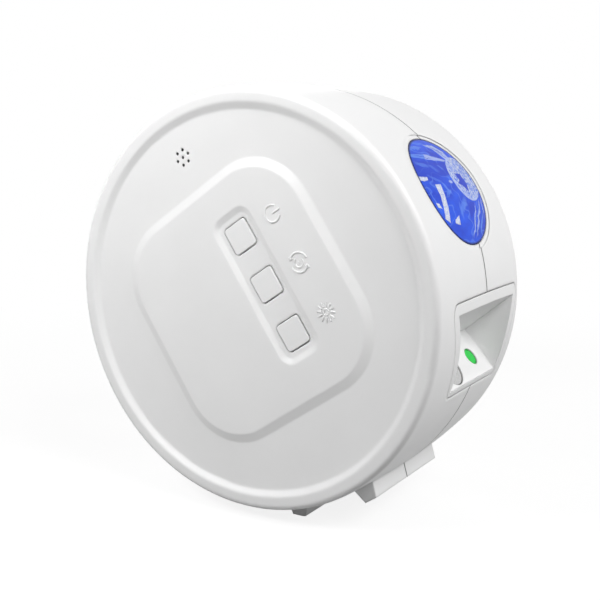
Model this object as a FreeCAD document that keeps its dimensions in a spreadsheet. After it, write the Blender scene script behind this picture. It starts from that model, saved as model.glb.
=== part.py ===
# Drum-shaped star projector: a two-part crowned housing on four moulded ribs, three keys on its
# face, a nebula lens and a laser nook in its barrel, and the optics, boards and drives inside.
# Millimetres. The drum lies along Y with its face towards -Y, and stands on Z = 0.
# The pieces are modelled in the aim frame, whose +X is the direction that the lens looks in and
# whose origin is the middle of the drum, and then turned up by the aim angle.
import FreeCAD, Part
import math
import os
import re
import Sketcher

V = FreeCAD.Vector
doc = FreeCAD.newDocument("StarProjector")
sheet = doc.addObject("Spreadsheet::Sheet", "Sizes")
names = []

# Driving sizes in millimetres and degrees, by piece
sizes = {
    # Housing
    "drum_radius": 75.4,
    "drum_depth": 74,
    "front_drop": 0.9,
    "back_drop": 1.4,
    "wall": 2.4,
    "rim_round": 2.2,
    "back_round": 5,
    "seam_gap": 0.5,
    "seam_step": 1.3,
    "seam_tongue": 3,
    "fit": 0.2,
    "overrun": 6,
    # Face: the dish, the raised plateau, the key slot and the microphone holes
    "rim_width": 6,
    "dish_slope": 2.3,
    "dish_soft": 1.2,
    "dish_depth": 1.4,
    "plateau_half": 43.5,
    "plateau_round": 24,
    "plateau_height": 1.2,
    "plateau_slope": 3.3,
    "slot_width": 18,
    "slot_length": 57,
    "slot_depth": 0.9,
    "slot_round": 5,
    "slot_slope": 2.2,
    "slot_out": 11.9,
    "key_side": 10,
    "key_pitch": 19.1,
    "key_out": 12.2,
    "key_lift": 1.1,
    "key_gap": 0.35,
    "key_round": 1.3,
    "key_edge": 0.4,
    "key_rise": 0.5,
    "key_travel": 0.5,
    "key_clear": 0.3,
    "key_collar": 1.2,
    "key_collar_thick": 0.9,
    "key_stem_radius": 1.7,
    "key_stem_depth": 0.4,
    "mic_out": 6.4,
    "mic_in": 19.4,
    "mic_hole_radius": 0.55,
    "mic_pitch": 2.7,
    # Back: its own dish, and the vents
    "back_rim": 5.4,
    "back_dish_depth": 1,
    "back_bevel": 1.6,
    "vent_length": 16,
    "vent_width": 1.8,
    "vent_pitch": 4.2,
    "vent_count": 7,
    "vent_in": 25.4,
    # Stand ribs
    "aim_angle": 34,
    "rib_pitch": 22.5,
    "rib_count": 4,
    "rib_height": 5,
    "rib_base": 9,
    "rib_tip": 5,
    "rib_root": 1.2,
    "rib_length": 24.2,
    "rib_flat": 0.25,
    # Housing screws
    "boss_in": 14.4,
    "boss_radius": 3.6,
    "pillar_radius": 4.6,
    "screw_radius": 1.25,
    "screw_length": 18,
    "screw_grip": 3,
    "head_radius": 2.7,
    "head_height": 2,
    "well_radius": 3.2,
    "screw_socket": 1.1,
    "boss_angle_a": 50,
    "boss_angle_b": 140,
    "boss_angle_c": 225,
    "boss_angle_d": 334.5,
    # Nebula lens and its optics, along +X
    "lens_shift": 2.9,
    "lens_drop": 1,
    "lens_radius": 20.5,
    "lens_step": 0.35,
    "lens_border": 2,
    "lens_gap": 0.3,
    "lens_wall": 4.2,
    "lens_flange": 2.5,
    "frame_in": 39.4,
    "frame_thick": 2.5,
    "frame_low": 33,
    "frame_high": 22,
    "sleeve_radius": 14.5,
    "sleeve_bore": 12.9,
    "sleeve_length": 14,
    "light_radius": 9,
    "optic_radius": 12.7,
    "reflector_lip": 0.8,
    "reflector_throat": 4,
    "condenser_rim": 1.6,
    "condenser_rise": 2.6,
    "led_board_thick": 1.6,
    "led_board_radius": 14.2,
    "led_side": 2.4,
    "led_height": 0.9,
    "led_spacing": 1.5,
    "sink_length": 15,
    "sink_base": 3,
    "sink_slot": 2,
    "sink_slots": 5,
    "sink_pitch": 4.4,
    # Ripple disc and its drive
    "gear_module": 0.8,
    "root_share": 0.64,
    "tip_share": 0.3,
    "addendum_share": 0.8,
    "dedendum_share": 1.15,
    "ripple_teeth": 56,
    "pinion_teeth": 10,
    "ripple_drop": 12,
    "ripple_motor_drop": 21,
    "ripple_thick": 2,
    "ripple_stand": 8.5,
    "axle_radius": 1,
    "running_gap": 0.05,
    "hub_radius": 3.4,
    "hub_height": 1.2,
    "axle_head": 2,
    "motor_radius": 7,
    "motor_length": 22,
    "motor_gap": 0.3,
    "collar_wall": 1.6,
    "collar_length": 9,
    "shaft_radius": 0.75,
    "eye_depth": 0.8,
    "pinion_height": 3.4,
    "shaft_hole_radius": 2.4,
    # Laser nook: a separate moulding in the barrel, with a sloping panel
    "nook_in": 15.73,
    "nook_angle": 46.6,
    "nook_shift": 2.1,
    "nook_tilt": 7,
    "nook_lip": 3,
    "nook_drop": 18.6,
    "nook_side": 7.1,
    "nook_taper": 7.6,
    "nook_round": 3,
    "nook_gap": 0.12,
    "nook_gap_top": 0.35,
    "nook_flange": 2.2,
    "nook_flange_thick": 1.6,
    "panel_height": 17.5,
    "panel_half": 20.6,
    "panel_thick": 2.4,
    "mouth_side": 4,
    "mouth_low_side": 1.5,
    "mouth_reach": 25,
    "mouth_fall": 3,
    "window_drop": 9.9,
    "laser_window_out": 10.9,
    "laser_window_radius": 3.3,
    "ir_window_out": 8.6,
    "ir_window_radius": 7,
    "window_step": 0.8,
    "window_seat": 1.4,
    "window_recess": 0.4,
    # Laser, its grating disc and their bracket
    "bracket_back": 12,
    "bracket_thick": 2.5,
    "bracket_side": 6.5,
    "grating_teeth": 30,
    "grating_offset": 8.5,
    "grating_thick": 1.6,
    "grating_stand": 3.6,
    "laser_radius": 5.9,
    "laser_length": 30,
    "laser_nose_radius": 3,
    "laser_nose": 2,
    "small_motor_radius": 6,
    "small_motor_length": 20,
    "leg_radius": 2.2,
    "leg_out": 9.4,
    "leg_down": 3.6,
    "leg_grip": 1.4,
    # Boards and what they carry
    "board_thick": 1.6,
    "board_left": 0.4,
    "board_right": 25.2,
    "board_low": 28.5,
    "board_top": 1.2,
    "board_stand": 4.6,
    "switch_side": 6.2,
    "switch_height": 2.4,
    "switch_bore": 1.9,
    "post_radius": 2.5,
    "post_left": 2.8,
    "post_right": 22.4,
    "post_low": 25.2,
    "post_high": 43,
    "pin_radius": 0.95,
    "pin_length": 3.4,
    "pin_head": 2,
    "pin_head_height": 1.3,
    "mic_radius": 4.8,
    "mic_height": 3.6,
    "main_in": 17.4,
    "main_right": 2,
    "main_half": 29,
    "main_stand": 7,
    "main_post_in": 4,
    "chip_side": 10,
    "chip_height": 1.2,
    "can_radius": 3.1,
    "can_height": 7,
    "can_spacing": 8,
    "usb_width": 9,
    "usb_height": 3.4,
    "usb_wall": 0.5,
    "usb_depth": 6.2,
    "usb_tongue": 0.8,
    "usb_tongue_width": 5.4,
    "usb_in": 31.4,
    "usb_down": 16,
    # Infrared receiver
    "ir_side": 6.4,
}


def size(name, value):
    """Write one size, or one formula over other sizes, in the sheet under its alias."""
    names.append(name)
    cell = "A%d" % len(names)
    sheet.set(cell, str(value))
    sheet.setAlias(cell, name)
    if str(value).startswith("="):
        sheet.recompute()
    return name


size("nought", 0)
for alias, driving in sizes.items():
    size(alias, driving)
sheet.recompute()
boss_angles = [alias for alias in sizes if alias.startswith("boss_angle")]


def num(name):
    """The present value of a size, with a leading minus allowed."""
    if name.startswith("-"):
        return -num(name[1:])
    return float(sheet.get(name))


def ex(formula):
    """A formula over sizes, as the expression that an object outside the sheet is bound with."""
    return re.sub(r"[a-z][a-z0-9_]*", lambda m: "Sizes." + m[0] if m[0] in names else m[0], formula)


def bind(thing, **rules):
    for key, formula in rules.items():
        thing.setExpression(key.replace("__", "."), ex(formula))
    return thing


# Places that follow from the sizes
size("front_y", "=-drum_depth / 2")
size("half_depth", "=drum_depth / 2")
size("back_y", "=drum_depth / 2")
size("front_radius", "=drum_radius - front_drop")
size("back_radius", "=drum_radius - back_drop")
size("rim_inner_radius", "=drum_radius - rim_width")
size("dish_radius", "=rim_inner_radius - dish_slope")
size("back_dish_radius", "=back_radius - back_rim - back_bevel")
size("boss_circle", "=drum_radius - boss_in")
size("frame_out", "=drum_radius - frame_in")
size("mic_up", "=drum_radius - mic_in")
size("vent_up", "=drum_radius - vent_in")
size("board_high", "=mic_up + mic_radius + board_top")
size("main_left", "=drum_radius - main_in")
size("usb_out", "=drum_radius - usb_in")
size("dish_y", "=front_y + dish_depth")
size("face_in_y", "=dish_y + wall")
size("back_dish_y", "=back_y - back_dish_depth")
size("back_in_y", "=back_dish_y - wall")
size("seam_front", "=-seam_gap / 2")
size("seam_back", "=seam_gap / 2")
size("pillar_start", "=fit / 2")
size("plateau_y", "=dish_y - plateau_height")
size("slot_y", "=plateau_y + slot_depth")
size("rib_radius", "=drum_radius + rib_height")
size("rib_inner", "=drum_radius - rib_root")
size("rib_base_half", "=rib_base / 2")
size("rib_tip_half", "=rib_tip / 2")
size("rib_turn", "=90 + aim_angle + rib_pitch * (rib_count - 1) / 2")
size("axis_height", "=rib_radius * cos(rib_pitch / 2) - rib_flat")
size("floor_drop", "=axis_height + drum_radius")


def block(name, length, width, height, x, y, z):
    """A box from its low corner."""
    box = doc.addObject("Part::Box", name)
    return bind(box, Length=length, Width=width, Height=height,
                Placement__Base__x=x, Placement__Base__y=y, Placement__Base__z=z)


def rod(name, radius, height, x, y, z, along="x"):
    """A cylinder that starts at a point and runs along +X, +Y or +Z."""
    turns = {"x": (V(0, 1, 0), 90), "y": (V(1, 0, 0), -90), "z": (V(0, 0, 1), 0)}
    cylinder = doc.addObject("Part::Cylinder", name)
    cylinder.Placement = FreeCAD.Placement(V(0, 0, 0), FreeCAD.Rotation(*turns[along]))
    return bind(cylinder, Radius=radius, Height=height,
                Placement__Base__x=x, Placement__Base__y=y, Placement__Base__z=z)


def joined(name, pieces):
    fusion = doc.addObject("Part::MultiFuse", name)
    fusion.Shapes = pieces
    return fusion


def less(name, base, tools):
    """What is left of the base once every tool is taken out of it."""
    cut = doc.addObject("Part::Cut", name)
    cut.Base = base
    cut.Tool = tools[0] if len(tools) == 1 else joined(name + "_tools", tools)
    return cut


def shared(name, pieces):
    common = doc.addObject("Part::MultiCommon", name)
    common.Shapes = pieces
    return common


def group(name, pieces):
    """Several like solids that make one sub-part."""
    compound = doc.addObject("Part::Compound", name)
    compound.Links = pieces
    return compound


def sketch(body, name, plane, offset, loops, arcs=()):
    """A fully bound sketch: loops of named points, and arcs as (loop, edge, radius, bulge)."""
    drawing = body.newObject("Sketcher::SketchObject", name)
    base = [f for f in body.Origin.OriginFeatures if f.Role == plane][0]
    drawing.AttachmentSupport = (base, [""])
    drawing.MapMode = "FlatFace"
    bind(drawing, AttachmentOffset__Base__z=offset)
    bulges = {(loop, edge): (radius, bulge) for loop, edge, radius, bulge in arcs}
    for index, points in enumerate(loops):
        start = drawing.GeometryCount
        count = len(points)
        corners = [V(num(x), num(y), 0) for x, y in points]
        for i in range(count):
            a, b = corners[i], corners[(i + 1) % count]
            if (index, i) in bulges:
                radius, bulge = bulges[index, i]
                half = (b - a).Length / 2
                rise = num(radius) - math.sqrt(max(num(radius) ** 2 - half ** 2, 0))
                side = V(a.y - b.y, b.x - a.x, 0).normalize() * bulge
                drawing.addGeometry(Part.Arc(a, (a + b) / 2 + side * rise, b), False)
            else:
                drawing.addGeometry(Part.LineSegment(a, b), False)
        for i, (x, y) in enumerate(points):
            here, there = start + i, start + (i + 1) % count
            turned = (index, i) in bulges and bulges[index, i][1] > 0
            nexted = (index, (i + 1) % count) in bulges and bulges[index, (i + 1) % count][1] > 0
            drawing.addConstraint(Sketcher.Constraint("Coincident", here, 1 if turned else 2,
                                                      there, 2 if nexted else 1))
            for kind, text in (("DistanceX", x), ("DistanceY", y)):
                place = drawing.addConstraint(
                    Sketcher.Constraint(kind, -1, 1, here, 2 if turned else 1, num(text)))
                drawing.setExpression("Constraints[%d]" % place, ex(text))
            if (index, i) in bulges:
                text = bulges[index, i][0]
                place = drawing.addConstraint(Sketcher.Constraint("Radius", here, num(text)))
                drawing.setExpression("Constraints[%d]" % place, ex(text))
    return drawing


def feature(body, kind, name, profile, **rules):
    made = body.newObject("PartDesign::" + kind, name)
    made.Profile = profile
    return bind(made, **rules)


def turned(body, name, profile):
    """A profile in the XY plane turned round the drum's axis."""
    made = body.newObject("PartDesign::Revolution", name)
    made.Profile = profile
    made.ReferenceAxis = (profile, ["V_Axis"])
    made.Angle = 360
    return made


def dressed(body, kind, name, base, test, **rules):
    """A fillet or chamfer on those edges of a feature that a test picks."""
    doc.recompute()
    picked = ["Edge%d" % (i + 1) for i, edge in enumerate(base.Shape.Edges) if test(edge)]
    made = body.newObject("PartDesign::" + kind, name)
    made.Base = (base, picked)
    return bind(made, **rules)


def runs_along(edge, axis, low=None, high=None):
    """Whether an edge is straight and runs along an axis, inside a span along it."""
    if edge.Curve.TypeId != "Part::GeomLine":
        return False
    ends = [vertex.Point for vertex in edge.Vertexes]
    side = {"x": 0, "y": 1, "z": 2}[axis]
    spans = [abs(ends[0][i] - ends[1][i]) for i in range(3)]
    if any(spans[i] > 1e-6 for i in range(3) if i != side):
        return False
    middle = (ends[0][side] + ends[1][side]) / 2
    return (low is None or middle > low) and (high is None or middle < high)


def is_circle(edge, radius):
    """Whether an edge is part of a circle of a named radius."""
    return edge.Curve.TypeId == "Part::GeomCircle" and abs(edge.Curve.Radius - num(radius)) < 1e-6


def box_points(left, right, low, high):
    return [(left, low), (right, low), (right, high), (left, high)]


def rounded(name, left, right, low, high, radius):
    """The points of a box outline with rounded corners, and its four arcs."""
    for side, rule in (("left", left + " + "), ("right", right + " - "),
                       ("low", low + " + "), ("high", high + " - ")):
        size("%s_in_%s" % (name, side), "=" + rule + radius)
    inner = {side: "%s_in_%s" % (name, side) for side in ("left", "right", "low", "high")}
    points = [(inner["left"], low), (inner["right"], low), (right, inner["low"]),
              (right, inner["high"]), (inner["right"], high), (inner["left"], high),
              (left, inner["high"]), (left, inner["low"])]
    return [points], [(0, corner, radius, -1) for corner in (1, 3, 5, 7)]


finished = []


def seat(piece, label, where="aim"):
    """Turn a finished sub-part from its own frame into place, and give it its node's name."""
    turn, x, y, z = {"aim": ("aim_angle", "nought", "nought", "axis_height"),
                     "laser": ("laser_angle", "laser_x", "nook_shift", "laser_z")}[where]
    piece.Placement = FreeCAD.Placement(V(0, 0, 0), FreeCAD.Rotation(V(0, 1, 0), -num(turn)))
    bind(piece, Placement__Base__x=x, Placement__Base__y=y, Placement__Base__z=z,
         Placement__Rotation__Angle="-" + turn)
    piece.Label = label
    finished.append(piece)


size("nook_out", "=(drum_radius - nook_in) * cos(nook_angle)")
size("nook_down", "=(drum_radius - nook_in) * sin(nook_angle)")
size("nook_half_top", "=half_depth - nook_side")
size("nook_half_bottom", "=nook_half_top - nook_taper")
size("mouth_half_top", "=nook_half_top - mouth_side")
size("mouth_half_bottom", "=nook_half_bottom - mouth_low_side")
size("laser_angle", "=aim_angle + nook_tilt")
size("laser_x", "=nook_out * cos(aim_angle) + nook_down * sin(aim_angle)")
size("laser_z", "=axis_height + nook_out * sin(aim_angle) - nook_down * cos(aim_angle)")

# Crowned outer form of the drum, drawn in by a margin, for what must follow the barrel
size("front_run", "=drum_depth / 2 - rim_round")
size("back_run", "=drum_depth / 2 - back_round")


def drum_form(name, margin):
    for part in ("front", "back"):
        size(name + "_" + part, "=%s_radius - %s" % (part, margin))
        size(name + "_crown_" + part, "=(%s_run ^ 2 + %s_drop ^ 2) / (2 * %s_drop)" % ((part,) * 3))
    size(name + "_middle", "=drum_radius - %s" % margin)
    size(name + "_low", "=-front_run")
    body = doc.addObject("PartDesign::Body", name)
    profile = sketch(body, name + "_profile", "XY_Plane", "0",
                     [[("nought", name + "_low"), (name + "_front", name + "_low"),
                       (name + "_middle", "nought"), (name + "_back", "back_run"),
                       ("nought", "back_run")]],
                     [(0, 1, name + "_crown_front", -1), (0, 2, name + "_crown_back", -1)])
    turned(body, name + "_turned", profile)
    return body


# Front shell
# An injection-moulded cup. Its face has a flat rim, a bevel down to a dish, a raised rounded
# plateau and a slot for the keys, and its open edge has a tongue that enters the rear shell.
size("rim_flat_radius", "=front_radius - rim_round")
size("rim_round_y", "=front_y + rim_round")
size("front_crown", "=((front_run - seam_gap / 2) ^ 2 + front_drop ^ 2) / (2 * front_drop)")
size("back_crown", "=((back_run - seam_gap / 2) ^ 2 + back_drop ^ 2) / (2 * back_drop)")
size("step_radius", "=drum_radius - seam_step")
size("inner_radius", "=drum_radius - wall")
size("front_inner_radius", "=front_radius - wall")
size("plateau_low", "=-plateau_half")
front = doc.addObject("PartDesign::Body", "front_cup")
cup = turned(front, "front_cup_turned", sketch(
    front, "front_cup_profile", "XY_Plane", "0",
    [[("nought", "dish_y"), ("dish_radius", "dish_y"), ("rim_inner_radius", "front_y"),
      ("rim_flat_radius", "front_y"), ("front_radius", "rim_round_y"),
      ("drum_radius", "seam_front"), ("step_radius", "seam_front"),
      ("step_radius", "seam_tongue"), ("inner_radius", "seam_tongue"),
      ("inner_radius", "seam_front"), ("front_inner_radius", "face_in_y"),
      ("nought", "face_in_y")]],
    [(0, 3, "rim_round", -1), (0, 4, "front_crown", -1)]))
rim_soft = dressed(
    front, "Fillet", "rim_soft", cup,
    lambda e: is_circle(e, "rim_inner_radius") or is_circle(e, "dish_radius"), Radius="dish_soft")
feature(front, "Pad", "plateau", sketch(
    front, "plateau_sketch", "XZ_Plane", "-dish_y",
    *rounded("plateau", "plateau_low", "plateau_half", "plateau_low", "plateau_half",
             "plateau_round")),
    Length="plateau_height", TaperAngle="-atan(plateau_slope / plateau_height)")
size("slot_left", "=slot_out - slot_width / 2")
size("slot_right", "=slot_out + slot_width / 2")
size("slot_low", "=key_lift - slot_length / 2")
size("slot_high", "=key_lift + slot_length / 2")
feature(front, "Pocket", "key_slot", sketch(
    front, "key_slot_sketch", "XZ_Plane", "-plateau_y",
    *rounded("slot", "slot_left", "slot_right", "slot_low", "slot_high", "slot_round")),
    Length="slot_depth", TaperAngle="-atan(slot_slope / slot_depth)")
size("key_left", "=key_out - key_side / 2 - key_gap")
size("key_right", "=key_out + key_side / 2 + key_gap")
key_ups = []
for index, key in enumerate(("dimmer", "mode", "power")):
    size(key + "_up", "=key_pitch * %d + key_lift" % (index - 1))
    size(key + "_low", "=%s_up - key_side / 2 - key_gap" % key)
    size(key + "_high", "=%s_up + key_side / 2 + key_gap" % key)
    key_ups.append(key + "_up")
key_holes = feature(front, "Pocket", "key_holes", sketch(
    front, "key_holes_sketch", "XZ_Plane", "-plateau_y",
    [box_points("key_left", "key_right", key + "_low", key + "_high")
     for key in ("dimmer", "mode", "power")]), Length="wall + plateau_height + overrun")
size("hole_round", "=key_round + key_gap")
key_holes_round = dressed(
    front, "Fillet", "key_holes_round", key_holes,
    lambda e: runs_along(e, "y") and num("slot_left") < e.Vertexes[0].X < num("slot_right")
    and num("slot_low") < e.Vertexes[0].Z < num("slot_high"),
    Radius="hole_round")
front.Tip = key_holes_round


def mic_hole(name, out):
    """One microphone hole, drilled from the dish at a distance from the pattern's middle."""
    drawing = front.newObject("Sketcher::SketchObject", name + "_sketch")
    base = [f for f in front.Origin.OriginFeatures if f.Role == "XZ_Plane"][0]
    drawing.AttachmentSupport = (base, [""])
    drawing.MapMode = "FlatFace"
    bind(drawing, AttachmentOffset__Base__x="mic_out", AttachmentOffset__Base__y="mic_up",
         AttachmentOffset__Base__z="-front_y")
    drawing.addGeometry(Part.Circle(V(num(out), 0, 0), V(0, 0, 1), num("mic_hole_radius")), False)
    drawing.addConstraint(Sketcher.Constraint("Radius", 0, num("mic_hole_radius")))
    drawing.setExpression("Constraints[0]", ex("mic_hole_radius"))
    drawing.addConstraint(Sketcher.Constraint("DistanceX", -1, 1, 0, 3, num(out)))
    drawing.setExpression("Constraints[1]", ex(out))
    drawing.addConstraint(Sketcher.Constraint("DistanceY", -1, 1, 0, 3, 0.0))
    return feature(front, "Pocket", name, drawing, Length="dish_depth + wall + overrun")


mic_hole("mic_hole_middle", "nought")
mic_ring = mic_hole("mic_hole_ring", "mic_pitch")
mic_pattern = front.newObject("PartDesign::PolarPattern", "mic_holes")
mic_pattern.Originals = [mic_ring]
mic_pattern.Axis = (mic_ring.Profile[0], ["N_Axis"])
mic_pattern.Angle = 360
mic_pattern.Occurrences = 6
front.Tip = mic_pattern
doc.recompute()


def rib_set(name, end_y):
    """A shell's halves of the stand ribs, trimmed flat where the drum stands on them."""
    body = doc.addObject("PartDesign::Body", name)
    body.AllowCompound = True
    wedge = feature(body, "Pad", name + "_pad", sketch(
        body, name + "_sketch", "XZ_Plane", end_y,
        [[("rib_inner", "-rib_base_half"), ("rib_radius", "-rib_tip_half"),
          ("rib_radius", "rib_tip_half"), ("rib_inner", "rib_base_half")]]), Length="rib_length")
    row = body.newObject("PartDesign::PolarPattern", name + "_row")
    row.Originals = [wedge]
    row.Axis = (wedge.Profile[0], ["N_Axis"])
    bind(row, Angle="rib_pitch * (rib_count - 1)", Occurrences="rib_count")
    body.Tip = row
    body.Placement = FreeCAD.Placement(V(0, 0, 0), FreeCAD.Rotation(V(0, 1, 0), num("rib_turn")))
    bind(body, Placement__Rotation__Angle="rib_turn")
    floor = doc.addObject("Part::Box", name + "_floor")
    floor.Placement = FreeCAD.Placement(V(0, 0, 0), FreeCAD.Rotation(V(0, 1, 0), num("aim_angle")))
    bind(floor, Length="4 * drum_radius", Width="drum_depth", Height="drum_radius",
         Placement__Base__y="front_y", Placement__Rotation__Angle="aim_angle",
         Placement__Base__x="-2 * drum_radius * cos(aim_angle) - floor_drop * sin(aim_angle)",
         Placement__Base__z="2 * drum_radius * sin(aim_angle) - floor_drop * cos(aim_angle)")
    return less(name + "_trimmed", body, [floor])


def around(name, radius, start, length):
    """One rod along Y at each housing screw's place."""
    return [rod("%s_%d" % (name, i + 1), radius, length, "boss_circle * cos(%s)" % boss, start,
                "boss_circle * sin(%s)" % boss, "y") for i, boss in enumerate(boss_angles)]


post_places = [(x, z) for x in ("post_left", "post_right") for z in ("-post_low", "post_high")]


def posts(name, radius, start, length):
    return [rod("%s_%d" % (name, i + 1), radius, length, x, start, z, "y")
            for i, (x, z) in enumerate(post_places)]


def lens_rod(name, grow):
    """A rod from inside the drum out past the barrel, round the lens's axis."""
    return rod(name, "lens_radius + " + grow, "drum_radius", "drum_radius / 2", "-lens_shift",
               "-lens_drop")


def lens_way(name):
    """The lens's hole in the barrel, and the shallow border sunk round it."""
    return [lens_rod(name + "_hole", "lens_gap"),
            less(name + "_border", lens_rod(name + "_border_rod", "lens_border"),
                 [drum_form(name + "_border_form", "lens_step")])]


def nook_prism(name, grow, start, end, rise=None):
    """The laser nook's outline, grown by a margin, as a prism along the laser's beam."""
    for side in ("top", "bottom"):
        size("%s_%s" % (name, side), "=nook_half_%s + %s" % (side, grow))
    size(name + "_high", "=nook_lip + " + (rise or grow))
    size(name + "_low", "=-nook_drop - " + grow)
    body = doc.addObject("PartDesign::Body", name)
    pad = feature(body, "Pad", name + "_pad", sketch(
        body, name + "_sketch", "YZ_Plane", start,
        [[("-%s_bottom" % name, name + "_low"), (name + "_bottom", name + "_low"),
          (name + "_top", name + "_high"), ("-%s_top" % name, name + "_high")]]), Length=end)
    dressed(body, "Fillet", name + "_round", pad, lambda e: runs_along(e, "x"),
            Radius="nook_round + " + grow)
    return body


def in_nook(piece):
    """Put a tool of the nook's own frame in the aim frame."""
    piece.Placement = FreeCAD.Placement(V(0, 0, 0), FreeCAD.Rotation(V(0, 1, 0), -num("nook_tilt")))
    return bind(piece, Placement__Base__x="nook_out", Placement__Base__y="nook_shift",
                Placement__Base__z="-nook_down", Placement__Rotation__Angle="-nook_tilt")


def nook_way(name):
    return in_nook(nook_prism(name, "nook_gap", "-panel_thick - nook_gap",
                              "mouth_reach + 2 * overrun", "nook_gap_top"))


boss_low = size("boss_low", "=face_in_y - wall / 2")
front_solid = joined("front_solid", [front, rib_set("front_ribs", "seam_gap / 2")]
                     + around("boss", "boss_radius", "boss_low", "-boss_low - fit / 2")
                     + posts("board_post", "post_radius", "boss_low", "wall / 2 + board_stand"))
front_shell = less("front_shell_cut", front_solid,
                   lens_way("front_lens") + [nook_way("front_nook_hole")]
                   + around("boss_bore", "screw_radius + running_gap", "-screw_length",
                            "screw_length + overrun")
                   + posts("post_bore", "pin_radius + running_gap",
                           "face_in_y + board_stand - pin_length", "pin_length + overrun"))
seat(front_shell, "front_shell")

# Rear shell
# The matching cup. Its back has a shallow dish with the screw wells, the vents and the
# power inlet, and its open edge is relieved for the front shell's tongue.
size("back_flat_radius", "=back_radius - back_round")
size("back_round_y", "=back_y - back_round")
size("back_lip_radius", "=back_dish_radius + back_bevel")
size("socket_radius", "=step_radius + fit")
size("socket_y", "=seam_tongue + fit")
size("back_inner_radius", "=back_radius - wall")
rear = doc.addObject("PartDesign::Body", "rear_cup")
turned(rear, "rear_cup_turned", sketch(
    rear, "rear_cup_profile", "XY_Plane", "0",
    [[("nought", "back_in_y"), ("back_inner_radius", "back_in_y"), ("inner_radius", "socket_y"),
      ("socket_radius", "socket_y"), ("socket_radius", "seam_back"),
      ("drum_radius", "seam_back"), ("back_radius", "back_round_y"),
      ("back_flat_radius", "back_y"), ("back_lip_radius", "back_y"),
      ("back_dish_radius", "back_dish_y"), ("nought", "back_dish_y")]],
    [(0, 5, "back_crown", -1), (0, 6, "back_round", -1)]))
size("rear_post_y", "=back_in_y - main_stand")
main_posts = []
for x, left in (("-main_left + main_post_in", True), ("main_right - main_post_in", False)):
    for z in ("-main_half + main_post_in", "main_half - main_post_in"):
        main_posts.append((x, z))


def main_rods(name, radius, start, length):
    return [rod("%s_%d" % (name, i + 1), radius, length, x, start, z, "y")
            for i, (x, z) in enumerate(main_posts)]


vents = []
for i in range(int(num("vent_count"))):
    vents.append(block("vent_%d" % (i + 1), "vent_width", "overrun + wall", "vent_length",
                       "vent_pitch * (%d - (vent_count - 1) / 2) - vent_width / 2" % i,
                       "back_in_y - overrun / 2", "vent_up - vent_length"))
usb_hole = block("usb_hole", "usb_width + 2 * fit", "wall + 2 * overrun", "usb_height + 2 * fit",
                 "-usb_out - usb_width / 2 - fit", "back_in_y - overrun",
                 "-usb_down - usb_height / 2 - fit")
well_floor = size("well_floor", "=pillar_start + screw_grip")
rear_solid = joined("rear_solid", [rear, rib_set("rear_ribs", "-seam_gap / 2 - rib_length")]
                    + around("pillar", "pillar_radius", "pillar_start",
                             "back_in_y + wall / 2 - pillar_start")
                    + main_rods("main_post", "post_radius", "rear_post_y", "main_stand + wall / 2"))
rear_shell = less("rear_shell_cut", rear_solid,
                  lens_way("rear_lens") + [nook_way("rear_nook_hole"), usb_hole] + vents
                  + around("well", "well_radius", "well_floor", "drum_depth")
                  + around("screw_way", "screw_radius + fit", "nought", "drum_depth / 2")
                  + main_rods("main_bore", "pin_radius + running_gap", "rear_post_y - overrun",
                              "overrun + pin_length"))
seat(rear_shell, "rear_shell")

# Housing screws
# Four self-tapping screws, put in from the back through the rear shell's pillars.
size("head_top", "=well_floor + head_height")
heads = around("head", "head_radius", "well_floor", "head_height")
shanks = around("shank", "screw_radius", "well_floor - screw_length + fit", "screw_length")
sockets = around("head_socket", "screw_socket", "head_top - head_height / 2", "head_height")
seat(group("housing_screws_group",
           [less("housing_screw_%d" % (i + 1), joined("screw_blank_%d" % (i + 1), [head, shank]),
                 [socket]) for i, (head, shank, socket) in enumerate(zip(heads, shanks, sockets))]),
     "housing_screws")

# Nebula lens
# Clear moulded oval window, flush with the barrel, with a flange behind the shells' walls.
size("flange_margin", "=wall + 2 * fit")
lens_skin = shared("lens_skin", [drum_form("skin_form", "lens_step"), lens_rod("lens_rod", "nought")])
lens_rim = shared("lens_rim", [drum_form("flange_form", "flange_margin"),
                               lens_rod("lens_rim_rod", "lens_flange")])
seat(less("nebula_lens_cut", joined("lens_solid", [lens_skin, lens_rim]),
          [drum_form("lens_core_form", "lens_wall")]), "nebula_lens")

# Laser housing
# A separate moulding let into the barrel across the seam: a lip, two side walls and a sloping
# panel that carries the two windows. A flange behind the shells' walls keeps it in.
size("panel_low", "=-panel_height")
size("mouth_low", "=-panel_height - mouth_fall")
size("nook_flange_inner", "=flange_margin + nook_flange_thick")
nook_body = nook_prism("nook_block", "nought", "-panel_thick",
                       "mouth_reach + overrun + panel_thick")


def mouth_loft(body, kind, name):
    """The nook's hollow, from the sloping panel out to its wider mouth."""
    loft = body.newObject("PartDesign::" + kind, name)
    loft.Profile = sketch(body, name + "_panel", "YZ_Plane", "nought",
                          [box_points("-panel_half", "panel_half", "panel_low", "nought")])
    loft.Sections = [(sketch(body, name + "_mouth", "YZ_Plane", "mouth_reach",
                             [[("-mouth_half_bottom", "mouth_low"), ("mouth_half_bottom", "mouth_low"),
                               ("mouth_half_top", "nought"), ("-mouth_half_top", "nought")]]), [""])]
    loft.Ruled = True


mouth_loft(nook_body, "SubtractiveLoft", "nook_mouth")
size("laser_y", "=laser_window_out")
size("ir_y", "=-ir_window_out")
size("laser_up", "=-window_drop")


def window_rod(name, kind, grow, start, length):
    """A round tool square to the panel, at one of its two windows."""
    return rod(name, "%s_window_radius + %s" % (kind, grow), length, start, kind + "_y", "laser_up")


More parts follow.
